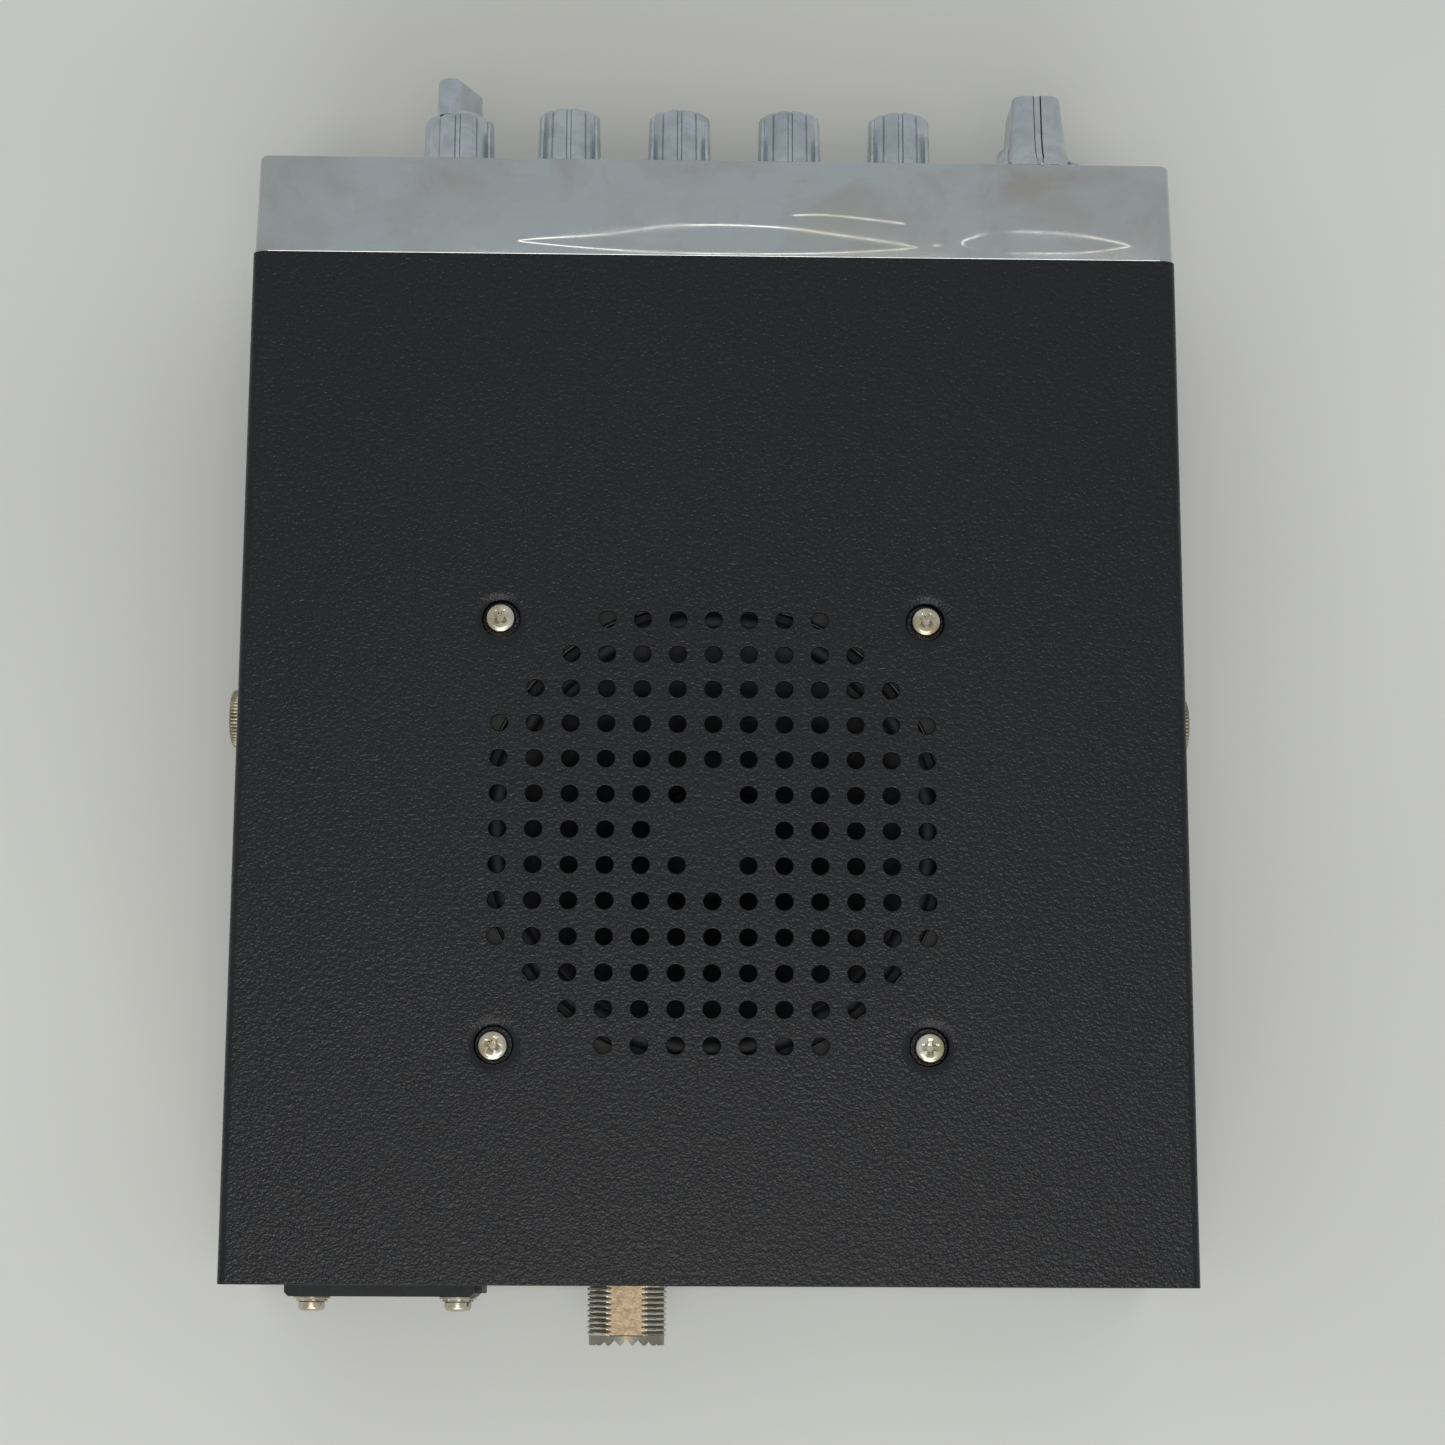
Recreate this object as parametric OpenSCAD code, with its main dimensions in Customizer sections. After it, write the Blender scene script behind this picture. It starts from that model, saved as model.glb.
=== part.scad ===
// Mobile transceiver, lying on its plain cover with the speaker cover on top.
// +Z is up, the front panel faces -Y and the antenna socket faces +Y.
// The origin is the middle of the underside, on the plane it rests on.

/* [Body] */
// Width across the two covers
body_w = 187; // [184:1:230]
// Length of the covers, front edge to rear edge
body_d = 205; // [196:1:250]
// Height over the two covers
body_h = 60; // [58:1:74]
// Thickness of the cover sheet
sheet = 1.0; // [0.8:0.1:1.2]
// Outer radius of the bends in the covers
cover_bend = 1.8; // [1.5:0.1:3]
// Height of the seam between the two covers
seam_z = 21; // [18:1:23]
// Gap along the seam
seam_gap = 0.3; // [0.2:0.1:0.6]
// How far the rear panel sits in from the covers' rear edge
rear_recess = 5; // [4:0.5:6]
// Clearance where one sheet part slides inside another
fit = 0.15; // [0.1:0.05:0.2]

/* [Chassis] */
// Thickness of the steel side rails and of the sub-panel
rail_t = 1.2; // [1:0.1:1.4]
// Width of a rail's top flange
rail_flange = 7; // [5:0.5:9]
// Width of the ledge that carries the board
ledge_w = 10; // [8:0.5:12]
// Height of the ledge's upper face
ledge_z = 8.8; // [7:0.1:10]
// Thickness of the rear panel
rear_t = 2; // [1.5:0.1:2.5]

/* [Front bezel] */
// Depth of the bezel in front of the covers
bezel_depth = 21; // [18:0.5:24]
// How far the bezel's face end sits in from the covers' outside
bezel_inset = 0.7; // [0.7:0.1:1.1]
// How much the bezel's sides lean out from its face to its joint, on each side
bezel_draft = 0.5; // [0.1:0.1:0.6]
// Wall of the bezel
bezel_wall = 1.6; // [1.4:0.1:1.7]
// Thickness of the bezel's face
face_t = 3.2; // [3:0.1:3.6]
// Radius of the bezel's long edges
bezel_round = 2; // [1:0.1:3]
// Thickness of the front plate
plate_t = 1.0; // [0.8:0.1:1.2]
// How far the front plate's face lies below the rim
plate_sink = 0.2; // [0:0.05:0.4]
// Width of the bright rim round the front plate
rim_w = 5; // [4:0.5:6]
// Depth from the bezel's face to the sub-panel's face
subpanel_depth = 9.8; // [9.4:0.1:10.4]

/* [Grille and speaker] */
// Distance between two grille holes
hole_pitch = 7; // [6.6:0.1:7.4]
// Diameter of a grille hole
hole_d = 3.5; // [2.5:0.1:4.2]
// Holes from the middle of the grille to its edge
grille_half = 6; // [4:1:6]
// Steps from the middle, across plus along, at which the grille's corners are cut
grille_corner = 9; // [6:1:12]
// Middle of the grille, forward of the covers' rear edge
grille_from_rear = 87.5; // [80:0.5:95]
// Side of the square of the four speaker screws
speaker_span = 84; // [80:0.5:88]
// Diameter of a dimple's floor
dimple_d = 7.4; // [7:0.1:8]
// Diameter of a dimple's rim
dimple_rim_d = 10; // [9:0.1:11]
// Depth of a dimple
dimple_depth = 2.0; // [1.6:0.1:2.2]
// Side of the speaker's square flange
speaker_side = 102; // [100:0.5:104]
// Inner radius of the speaker's gasket
gasket_r = 46.4; // [44:0.1:47]
// Depth of the speaker below its flange
speaker_depth = 36; // [30:0.5:37]

/* [Front controls] */
// Distance between two knobs in the row
knob_pitch = 22.95; // [20.5:0.01:23.5]
// Place of the double knob, to the right of the middle
dual_x = 53.3; // [50:0.1:55]
// Distance of the channel knob from the bezel's side
channel_from_side = 26; // [22:0.1:27]
// Distance of the microphone socket from the bezel's side
mic_from_side = 16.3; // [14:0.1:17]
// Knob row below the top of the covers
row_drop = 15; // [14.5:0.1:17]
// Gap between a knob and the bezel's face
knob_gap = 0.8; // [0.5:0.1:1.5]
// Diameter of a single knob at its base
knob_d = 13.4; // [11:0.1:14]
// Diameter of a single knob at its tip
knob_tip_d = 12.4; // [10.5:0.1:13]
// Length of a single knob
knob_len = 13.3; // [12:0.1:18]
// Flutes round a knob
flutes = 12; // [8:1:16]
// Diameter of the ring of the double knob
ring_d = 14.8; // [13:0.1:16]
// Length of the ring of the double knob
ring_len = 11.6; // [11.5:0.1:16]
// Length of the bar grip of the double knob
bar_len = 7.6; // [6:0.1:12]
// Length across the bar grip
bar_span = 13.8; // [11:0.1:14]
// Thickness of the bar grip
bar_t = 5.2; // [4.8:0.1:6]
// Lean of the bar grip at rest, clockwise from upright, seen from the front
bar_lean = 24.6; // [0:0.1:45]
// Diameter of the channel knob's skirt
skirt_d = 24; // [20:0.1:24.4]
// Length of the channel knob
channel_len = 16.8; // [15:0.1:20]
// Radius of a control shaft
shaft_r = 3.0; // [2.8:0.05:3.1]
// Running clearance of a shaft in its bush, on the radius
shaft_clear = 0.06; // [0.03:0.01:0.09]
// Distance between two toggle switches
toggle_pitch = 13; // [12:0.1:14]
// Height of the switches, windows and lamps' row
window_z = 18; // [17:0.1:19]
// Width of a window
window_w = 48; // [40:0.5:50]
// Height of a window
window_h = 20; // [16:0.5:20]
// Middle of each window, off the middle of the front
window_x = 56; // [54:0.5:58]

/* [Rear and sides] */
// Place of the antenna socket, to the right of the middle
antenna_x = 16.1; // [14:0.1:20]
// Major radius of the antenna socket's thread
antenna_r = 7.94; // [7.5:0.01:8.2]
// Pitch of the antenna socket's thread
antenna_pitch = 1.058; // [0.9:0.001:1.2]
// Reach of the antenna socket behind the covers
antenna_reach = 11.5; // [9:0.1:14]
// Width of the flat milled along the antenna socket
antenna_flat = 8.4; // [4:0.1:8.6]
// Radius of the contact's bore, for a 4 mm plug pin
contact_bore_r = 2.0; // [1.9:0.01:2.05]
// Teeth in the crown of the antenna socket
crown_teeth = 18; // [12:1:24]
// Middle of the heat plate, to the right of the middle
heat_x = 64.2; // [62:0.1:66]
// Width of the heat plate
heat_w = 37; // [36:0.1:40]
// Height of the heat plate
heat_h = 26; // [22:0.5:30]
// How far the heat plate stands behind the covers
heat_proud = 2.2; // [0.5:0.1:3]
// Distance between the heat plate's two screws
heat_span = 29; // [24:0.1:30]
// Place of the power socket, to the left of the middle
power_x = 58; // [50:0.5:66]
// Place of the first jack, to the left of the middle
jack_x = 12; // [11:0.5:13]
// Distance between the two jacks
jack_pitch = 15; // [12:0.5:17]
// Radius of a jack's bore, for a 3.5 mm plug
jack_r = 1.8; // [1.76:0.01:1.9]
// Place of the bracket standoffs, ahead of the middle of the covers
standoff_y = 12; // [5:0.5:20]
// Radius of a standoff's knurled head
standoff_r = 5.9; // [5:0.1:7]
// Length of a standoff's head outside the cover
standoff_len = 5; // [3:0.1:6]
// Radius of the hole for the bracket's M5 screw, at the thread's crests
bracket_hole_r = 2.1; // [2:0.05:2.5]

/* [Hidden] */
$fn = 48;

eps = 0.01;
half_w = body_w / 2;
front_y = -body_d / 2;
rear_y = body_d / 2;
mid_z = body_h / 2;

// Chassis planes
rail_x = half_w - sheet - fit;
rail_in = rail_x - rail_t;
rail_top = body_h - sheet - fit;
rail_foot = sheet + fit;
rail_ease = cover_bend - sheet;
spigot_len = 2.5;
rail_y0 = front_y + spigot_len + 0.5;
panel_out = rear_y - rear_recess;
panel_in = panel_out - rear_t;
flange_len = 12;
rear_flange_x = rail_in - 0.1;

// Bezel planes
bezel_half = half_w - bezel_inset;
bezel_z0 = bezel_inset;
bezel_z1 = body_h - bezel_inset;
face_y = front_y - bezel_depth;
face_in = face_y + face_t;
seat_y = face_y + plate_t + plate_sink;
sub_y = face_y + subpanel_depth;
sub_back = sub_y + rail_t;
bezel_inner = bezel_half - bezel_wall;
plate_half = bezel_half - rim_w;
plate_z0 = bezel_z0 + rim_w;
plate_z1 = bezel_z1 - rim_w;
boss_x = bezel_half - 6.6;
boss_drop = 6;
boss_spots = [for (sx = [-1, 1]) for (z = [bezel_z0 + boss_drop, bezel_z1 - boss_drop]) [sx * boss_x, z]];

// Control places
row_z = body_h - row_drop;
mic_x = bezel_half - mic_from_side;
channel_x = -(bezel_half - channel_from_side);
single_names = ["squelch", "mic_gain", "power", "clarifier"];
single_x = [for (i = [1:4]) dual_x - i * knob_pitch];
pot_x = concat([dual_x], single_x);
knob_y = face_y - knob_gap;
shaft_back = sub_back + 5.5;
shaft_tip = knob_y - knob_len + 3.3;
inner_shaft_r = 1.6;
inner_back = sub_back + 13;
ring_shaft_tip = knob_y - ring_len + 2.6;
bar_y = knob_y - ring_len - 0.5;
inner_tip = bar_y - bar_len + 2;
channel_tip = knob_y - channel_len + 4;
bush_r = shaft_r + 0.5;
bush_len = 7;
pot_r = 8.4;
pot_len = 7.5;
switch_r = 11;
switch_len = 18;
mic_r = 8;
mic_bore_r = 6.6;
mic_proud = 2;
mic_floor = face_y + 8;
mic_back = sub_back + 3;
mic_pin_len = 5;
toggle_x = [for (i = [0:3]) (i - 1.5) * toggle_pitch];
toggle_bush_r = 3;
toggle_bore_r = 1.9;
toggle_pin_r = 0.5;
toggle_pivot_y = face_y + 1;
toggle_mouth_y = face_y - 1.5;
lamp_x = [-12, 0, 12];
lamp_z = window_z + 13;
lamp_r = 1.5;
board_front = sub_back + 3.5;
display_t = 1.6;
display_z0 = window_z - window_h / 2 - 3;
display_z1 = lamp_z + 1.5;
pillar_x = plate_half - 3.5;
pillar_spots = [for (sx = [-1, 1]) for (z = [display_z0 + 9, display_z1 - 3]) [sx * pillar_x, z]];

// Speaker places
speaker_y = rear_y - grille_from_rear;
cup_wall = 0.8;
flange_top = body_h - dimple_depth - cup_wall;
flange_t = 0.9;
screw_spots = [for (sx = [-1, 1]) for (sy = [-1, 1])
  [sx * speaker_span / 2, speaker_y + sy * speaker_span / 2]];
magnet_r = 22.5;
magnet_t = 12;
coil_r = 12.5;
coil_t = 0.6;
coil_depth = 4;
basket_floor = flange_top - speaker_depth + magnet_t;

// Rear places
antenna_tip = rear_y + antenna_reach;
contact_r = 2.55;
barrel_bore_r = 6.3;
antenna_hole = 9.1;
antenna_spots = [for (sx = [-1, 1]) for (sz = [-1, 1])
  [antenna_x + sx * antenna_hole, mid_z + sz * antenna_hole]];
socket_flange = 25.4;
socket_flange_t = 1.6;
heat_y = rear_y + heat_proud;
heat_holes = [heat_x - heat_span / 2, heat_x + heat_span / 2];
bar_t_heat = 8;
power_w = 22;
power_h = 16;
power_wall = 2;
power_flange_t = 1.6;
power_depth = 13;
jack_places = [-jack_x, -jack_x - jack_pitch];
jack_bush_r = 3;

// Screws
m3_r = 1.5;
m3_hole_r = 1.7;
m3_core_r = 1.25;
m3_core_fit = 0.02;
pan_r = 3.0;
pan_h = 1.9;
side_screw_h = 1.6;
cover_screw_y = [-body_d * 0.4, 18, body_d * 0.4];
cover_screw_z = body_h - 18;
base_screw_y = [-body_d / 3, body_d / 3];
base_screw_z = 13.5;
standoff_shank = 8;
standoff_shank_fit = 0.2;
standoff_in = rail_in - 5;

// Board
board_t = 1.6;
board_z = ledge_z + board_t;
board_half = rail_in - 4.5;
board_y0 = front_y + 8;
board_y1 = panel_in - 15;
board_screw_y = [board_y0 + 8, (board_y0 + board_y1) / 2, board_y1 - 8];

function arc(cx, cy, r, a0, a1, n = 6) =
  [for (i = [0:n]) [cx + r * cos(a0 + (a1 - a0) * i / n), cy + r * sin(a0 + (a1 - a0) * i / n)]];

function rounded_outline(w, h, r) = concat(
  arc(w / 2 - r, h / 2 - r, r, 0, 90),
  arc(r - w / 2, h / 2 - r, r, 90, 180),
  arc(r - w / 2, r - h / 2, r, 180, 270),
  arc(w / 2 - r, r - h / 2, r, 270, 360));

// A channel that opens downwards, its flat side at height top
function channel_outline(half, foot, top, t, bend) = concat(
  [[half, foot]],
  arc(half - bend, top - bend, bend, 0, 90),
  arc(bend - half, top - bend, bend, 90, 180),
  [[-half, foot], [t - half, foot]],
  arc(bend - half, top - bend, bend - t, 180, 90),
  arc(half - bend, top - bend, bend - t, 90, 0),
  [[half - t, foot]]);

// Two half circles joined by straight sides, its long side along the second axis
function stadium(span, t) = concat(
  arc(0, (span - t) / 2, t / 2, 0, 180, 12),
  arc(0, (t - span) / 2, t / 2, 180, 360, 12));

// Points round a knurled or toothed rim
function toothed(r, depth, teeth) =
  [for (i = [0:2 * teeth - 1]) (r - (i % 2) * depth) * [cos(180 * i / teeth), sin(180 * i / teeth)]];

// Extrudes an outline drawn in X and Z along Y, from y0 to y1
module along_y(y0, y1) {
  translate([0, y1, 0]) rotate([90, 0, 0]) linear_extrude(y1 - y0) children();
}

// A round bar along Y
module rod_y(r, y0, y1, x = 0, z = 0) {
  translate([x, y0, z]) rotate([-90, 0, 0]) cylinder(r = r, h = y1 - y0);
}

// A round bar along X
module rod_x(r, x0, x1, y = 0, z = 0) {
  translate([x0, y, z]) rotate([0, 90, 0]) cylinder(r = r, h = x1 - x0);
}

// A block given by its two corners
module block(a, b) {
  translate(a) cube(b - a);
}

// Turns a part drawn standing on XY, pointing +Z, so that it points to -Y from y
module facing_front(x, y, z) {
  translate([x, y, z]) rotate([90, 0, 0]) children();
}

module mirrored_x() {
  children();
  mirror([1, 0, 0]) children();
}

// A pan head, its underside on XY, with a cross recess
module pan_head(r, h) {
  difference() {
    intersection() {
      cylinder(r = r, h = h);
      translate([0, 0, h - r * 1.6]) sphere(r = r * 1.6);
    }
    for (a = [0, 90]) rotate(a) translate([-r * 0.55, -r * 0.1, h - 1]) cube([r * 1.1, r * 0.2, 2]);
  }
}

// A pan head screw along -Z, its head on top of XY
module pan_screw(head_r, head_h, core_r, length) {
  pan_head(head_r, head_h);
  translate([0, 0, -length]) cylinder(r = core_r, h = length + eps);
}

module hex_nut(across, thick, bore_r) {
  difference() {
    cylinder(r = across / 2 / cos(30), h = thick, $fn = 6);
    translate([0, 0, -1]) cylinder(r = bore_r, h = thick + 2);
  }
}

// ---- covers ----

module grille_holes() {
  for (i = [-grille_half:grille_half]) for (j = [-grille_half:grille_half])
    if (abs(i) + abs(j) > 1 && abs(i) + abs(j) <= grille_corner)
      translate([i * hole_pitch, speaker_y + j * hole_pitch, body_h - sheet - 1])
        cylinder(r = hole_d / 2, h = sheet + 2);
}

module dimple_cup() {
  cup_r = dimple_d / 2 + cup_wall;
  cup_h = dimple_depth + cup_wall - sheet / 2;
  translate([0, 0, -dimple_depth - cup_wall]) cylinder(r = cup_r, h = cup_h);
}

module dimple_cut() {
  lead_h = sheet * 0.7;
  translate([0, 0, -lead_h]) cylinder(r1 = dimple_d / 2, r2 = dimple_rim_d / 2, h = lead_h + eps);
  translate([0, 0, -dimple_depth]) cylinder(r = dimple_d / 2, h = dimple_depth - lead_h + eps);
  translate([0, 0, -dimple_depth - 2]) cylinder(r = m3_hole_r, h = 3);
}

module speaker_cover() {
  color("#26272b") difference() {
    union() {
      along_y(front_y, rear_y)
        polygon(channel_outline(half_w, seam_z + seam_gap, body_h, sheet, cover_bend));
      for (p = screw_spots) translate([p[0], p[1], body_h]) dimple_cup();
    }
    grille_holes();
    for (p = screw_spots) translate([p[0], p[1], body_h]) dimple_cut();
    for (y = cover_screw_y) rod_x(m3_hole_r, -half_w - 1, half_w + 1, y, cover_screw_z);
    standoff_hex(standoff_shank_fit, -half_w - 1, half_w + 1);
  }
}

module base_cover() {
  color("#26272b") difference() {
    translate([0, 0, seam_z]) mirror([0, 0, 1]) along_y(front_y, rear_y)
      polygon(channel_outline(half_w, 0, seam_z, sheet, cover_bend));
    for (y = base_screw_y) rod_x(m3_hole_r, -half_w - 1, half_w + 1, y, base_screw_z);
  }
}

// ---- chassis ----

module rail() {
  difference() {
    union() {
      along_y(rail_y0, panel_out) polygon([[rail_in, rail_foot], [rail_x - rail_ease, rail_foot],
        [rail_x, rail_foot + rail_ease], [rail_x, rail_top - rail_ease], [rail_x - rail_ease, rail_top],
        [rail_in, rail_top]]);
      block([rail_in - rail_flange, rail_y0, rail_top - rail_t], [rail_in + eps, panel_in - 14, rail_top]);
      block([rail_in - ledge_w, rail_y0, ledge_z - rail_t], [rail_in + eps, panel_in - 14, ledge_z]);
      rod_x(standoff_shank / 2 + 3, rail_in - 3, rail_in + eps, -standoff_y, mid_z);
    }
    for (y = cover_screw_y) rod_x(m3_core_r + m3_core_fit, rail_in - 1, rail_x + 1, y, cover_screw_z);
    for (y = base_screw_y) rod_x(m3_core_r + m3_core_fit, rail_in - 1, rail_x + 1, y, base_screw_z);
    for (y = board_screw_y) translate([rail_in - ledge_w / 2 - 1, y, ledge_z - rail_t - 1])
      cylinder(r = m3_core_r + m3_core_fit, h = rail_t + 2);
    standoff_hex(m3_core_fit, rail_in - 5, rail_x + 1);
    for (p = chassis_spots()) countersink(p[0], p[1]);
  }
}

// Where screws hold the sub-panel's and the rear panel's flanges to the rails
function chassis_spots() =
  [for (y = [rail_y0 + 5, panel_in - 6]) for (z = [window_z - 3, row_z + 4]) [y, z]];

module countersink(y, z) {
  translate([rail_in - eps, y, z]) rotate([0, 90, 0])
    cylinder(r1 = m3_r + 0.15, r2 = m3_r + rail_t + 0.15, h = rail_t + 2 * eps);
}

module side_rails() {
  color("#b9bcbd") mirrored_x() rail();
}

module rear_panel() {
  z0 = rail_foot + 0.4;
  z1 = rail_top - 0.4;
  color("#a9adb0") difference() {
    union() {
      block([-rear_flange_x, panel_in, z0], [rear_flange_x, panel_out, z1]);
      mirrored_x() block([rear_flange_x - rear_t, panel_in - flange_len, ledge_z + 1.5],
                         [rear_flange_x, panel_in + eps, rail_top - rail_t - 1]);
    }
    rod_y(antenna_r + 0.15, panel_in - 1, panel_out + 1, antenna_x, mid_z);
    for (p = antenna_spots) rod_y(m3_hole_r, panel_in - 1, panel_out + 1, p[0], p[1]);
    for (x = jack_places) rod_y(jack_bush_r + 0.1, panel_in - 1, panel_out + 1, x, mid_z);
    for (x = heat_holes) rod_y(m3_hole_r, panel_in - 1, panel_out + 1, x, mid_z);
    block([-power_x - power_w / 2 - 0.1, panel_in - 1, mid_z - power_h / 2 - 0.1],
          [-power_x + power_w / 2 + 0.1, panel_out + 1, mid_z + power_h / 2 + 0.1]);
    for (p = chassis_spots()) rod_x(m3_core_r + m3_core_fit, -half_w, half_w, p[0], p[1]);
  }
}

module front_subpanel() {
  side = bezel_inner - fit;
  z0 = bezel_z0 + bezel_wall + 0.3;
  z1 = bezel_z1 - bezel_wall - 0.3;
  color("#b9bcbd") difference() {
    union() {
      block([-side, sub_y, z0], [side, sub_back, z1]);
      mirrored_x() block([side - rail_t, sub_y, ledge_z + 1.5],
                         [side, rail_y0 + 10, rail_top - rail_t - 1]);
      for (p = pillar_spots) rod_y(2.5, sub_back - eps, board_front, p[0], p[1]);
    }
    for (x = concat(pot_x, [channel_x])) rod_y(bush_r + 0.1, sub_y - 1, sub_back + 1, x, row_z);
    rod_y(mic_r + 0.3, sub_y - 1, sub_back + 1, mic_x, row_z);
    for (x = toggle_x) rod_y(toggle_bush_r + 0.1, sub_y - 1, sub_back + 1, x, window_z);
    for (x = lamp_x) rod_y(2.5, sub_y - 1, sub_back + 1, x, lamp_z);
    for (sx = [-1, 1]) block([sx * window_x - window_w / 2 + 1, sub_y - 1, window_z - window_h / 2 + 1],
                             [sx * window_x + window_w / 2 - 1, sub_back + 1, window_z + window_h / 2 - 1]);
    for (p = boss_spots) rod_y(m3_r + 0.1, sub_y - 1, sub_back + 1, p[0], p[1]);
    for (p = pillar_spots) rod_y(1.02, sub_y - 1, board_front + 1, p[0], p[1]);
    for (p = chassis_spots()) rod_x(m3_core_r + m3_core_fit, -half_w, half_w, p[0], p[1]);
  }
}

// ---- front ----

module bezel_outline(grow) {
  r = max(0.2, bezel_round + grow);
  height = bezel_z1 - bezel_z0 + 2 * grow;
  translate([0, mid_z]) polygon(rounded_outline(2 * (bezel_half + grow), height, r));
}

module window_outline(grow) {
  translate([0, window_z]) polygon(rounded_outline(window_w + 2 * grow, window_h + 2 * grow, 1.5 + grow));
}

// The bezel's outside between two planes, its four sides leaning out towards the joint
module bezel_sides(y0, y1) {
  half = bezel_half + bezel_draft;
  intersection() {
    along_y(y0, y1) bezel_outline(bezel_draft);
    translate([0, 0, -1]) linear_extrude(body_h + 2)
      polygon([[bezel_half, y0], [half, y1], [-half, y1], [-bezel_half, y0]]);
    translate([-half - 1, 0, 0]) rotate([90, 0, 90]) linear_extrude(2 * half + 2)
      polygon([[y0, bezel_z0], [y1, bezel_z0 - bezel_draft], [y1, bezel_z1 + bezel_draft], [y0, bezel_z1]]);
  }
}

module front_bezel() {
  edge = 0.8;
  color("#c9ced2") difference() {
    union() {
      along_y(face_y, face_y + edge + eps) bezel_outline(-edge / 2);
      bezel_sides(face_y + edge, front_y - 0.1);
      along_y(front_y - 1, front_y + spigot_len) bezel_outline(bezel_inset - sheet - fit);
    }
    difference() {
      along_y(face_in, front_y + spigot_len + 1) bezel_outline(-bezel_wall);
      for (p = boss_spots) rod_y(3, face_in - 1, sub_y, p[0], p[1]);
    }
    along_y(face_y - 1, seat_y) translate([0, (plate_z0 + plate_z1) / 2])
      polygon(rounded_outline(2 * plate_half, plate_z1 - plate_z0, 2));
    for (x = concat(pot_x, [channel_x])) rod_y(bush_r + 0.5, face_y, face_in + 1, x, row_z);
    rod_y(mic_r + 0.1, face_y, face_in + 1, mic_x, row_z);
    for (x = toggle_x) rod_y(toggle_bush_r + 0.1, face_y, face_in + 1, x, window_z);
    for (x = lamp_x) rod_y(lamp_r + 0.1, face_y, face_in + 1, x, lamp_z);
    for (sx = [-1, 1]) along_y(face_y, face_in + 1) translate([sx * window_x, 0]) window_outline(-1.2);
    for (p = boss_spots) rod_y(m3_core_r + m3_core_fit, face_in + 0.4, sub_y + 1, p[0], p[1]);
  }
}

module front_plate() {
  color("#15161a") difference() {
    along_y(seat_y - plate_t, seat_y) translate([0, (plate_z0 + plate_z1) / 2])
      polygon(rounded_outline(2 * plate_half - 0.2, plate_z1 - plate_z0 - 0.2, 1.9));
    for (x = concat(pot_x, [channel_x])) rod_y(bush_r + 0.5, face_y, seat_y + 1, x, row_z);
    rod_y(mic_r + 0.1, face_y, seat_y + 1, mic_x, row_z);
    for (x = toggle_x) rod_y(toggle_bush_r + 0.1, face_y, seat_y + 1, x, window_z);
    for (x = lamp_x) rod_y(lamp_r + 0.1, face_y, seat_y + 1, x, lamp_z);
    for (sx = [-1, 1]) along_y(face_y, seat_y + 1) translate([sx * window_x, 0]) window_outline(0.1);
  }
}

module display_windows() {
  color("#2a0d10") for (sx = [-1, 1])
    along_y(face_y, seat_y) translate([sx * window_x, 0]) window_outline(0);
}

module display_case(x) {
  block([x - window_w / 2 + 2, face_in + 0.6, window_z - window_h / 2 + 2],
        [x + window_w / 2 - 2, board_front, window_z + window_h / 2 - 2]);
}

module frequency_display() {
  digits = 6;
  step = (window_w - 8) / digits;
  color("#3a3a3a") difference() {
    display_case(-window_x);
    for (i = [0:digits - 1]) translate([-window_x + (i - (digits - 1) / 2) * step, 0, window_z])
      block([-step * 0.36, face_in, -5.5], [step * 0.36, face_in + 0.9, 5.5]);
  }
}

module meter_display() {
  bars = 12;
  step = (window_w - 8) / bars;
  color("#3a3a3a") difference() {
    display_case(window_x);
    for (i = [0:bars - 1]) translate([window_x + (i - (bars - 1) / 2) * step, 0, window_z])
      block([-step * 0.32, face_in, -3], [step * 0.32, face_in + 0.9, 3]);
  }
}

module display_board() {
  half = plate_half - 0.5;
  color("#1f5c34") difference() {
    block([-half, board_front, display_z0], [half, board_front + display_t, display_z1]);
    block([toggle_x[0] - 6, board_front - 1, window_z - 8.5],
          [toggle_x[3] + 6, board_front + display_t + 1, window_z + 8.5]);
    for (p = pillar_spots) rod_y(1.3, board_front - 1, board_front + 3, p[0], p[1]);
  }
}

module status_lamps() {
  color("#9b2a22") for (x = lamp_x) {
    rod_y(lamp_r, face_y - 0.4, face_in + 0.2, x, lamp_z);
    translate([x, face_y - 0.4, lamp_z]) sphere(r = lamp_r);
    rod_y(lamp_r + 0.4, face_in + 0.1, face_in + 1, x, lamp_z);
    for (s = [-1, 1]) rod_y(0.3, face_in + 0.9, board_front, x + s * 0.9, lamp_z);
  }
}

// ---- knobs, drawn standing on XY and pointing +Z ----

module fluted_knob(base_d, tip_d, length) {
  lean = atan((base_d - tip_d) / 2 / length);
  difference() {
    rotate_extrude() polygon([[0, 0], [base_d / 2, 0], [tip_d / 2 + 0.02, length - 0.5],
                              [tip_d / 2 - 0.5, length], [0, length]]);
    for (i = [0:flutes - 1]) rotate(i * 360 / flutes) translate([base_d / 2 + 0.2, 0, -1])
      rotate([0, -lean, 0]) cylinder(r = 0.6, h = length + 3);
  }
}

module single_knob(x) {
  color("#c4cad0") facing_front(x, knob_y, row_z) difference() {
    fluted_knob(knob_d, knob_tip_d, knob_len);
    translate([0, 0, -1]) cylinder(r = shaft_r + 0.02, h = 1 + knob_y - shaft_tip + 0.3);
  }
}

// A control shaft with the slotted end that grips its knob
module control_shaft(x, back, tip) {
  color("#d0d2d2") difference() {
    rod_y(shaft_r, tip, back, x, row_z);
    block([x - 0.4, tip - 1, row_z - shaft_r - 1], [x + 0.4, tip + 6, row_z + shaft_r + 1]);
  }
}

module single_shaft(x) {
  control_shaft(x, shaft_back, shaft_tip);
}

module channel_shaft() {
  control_shaft(channel_x, shaft_back + 2, channel_tip);
}

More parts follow.
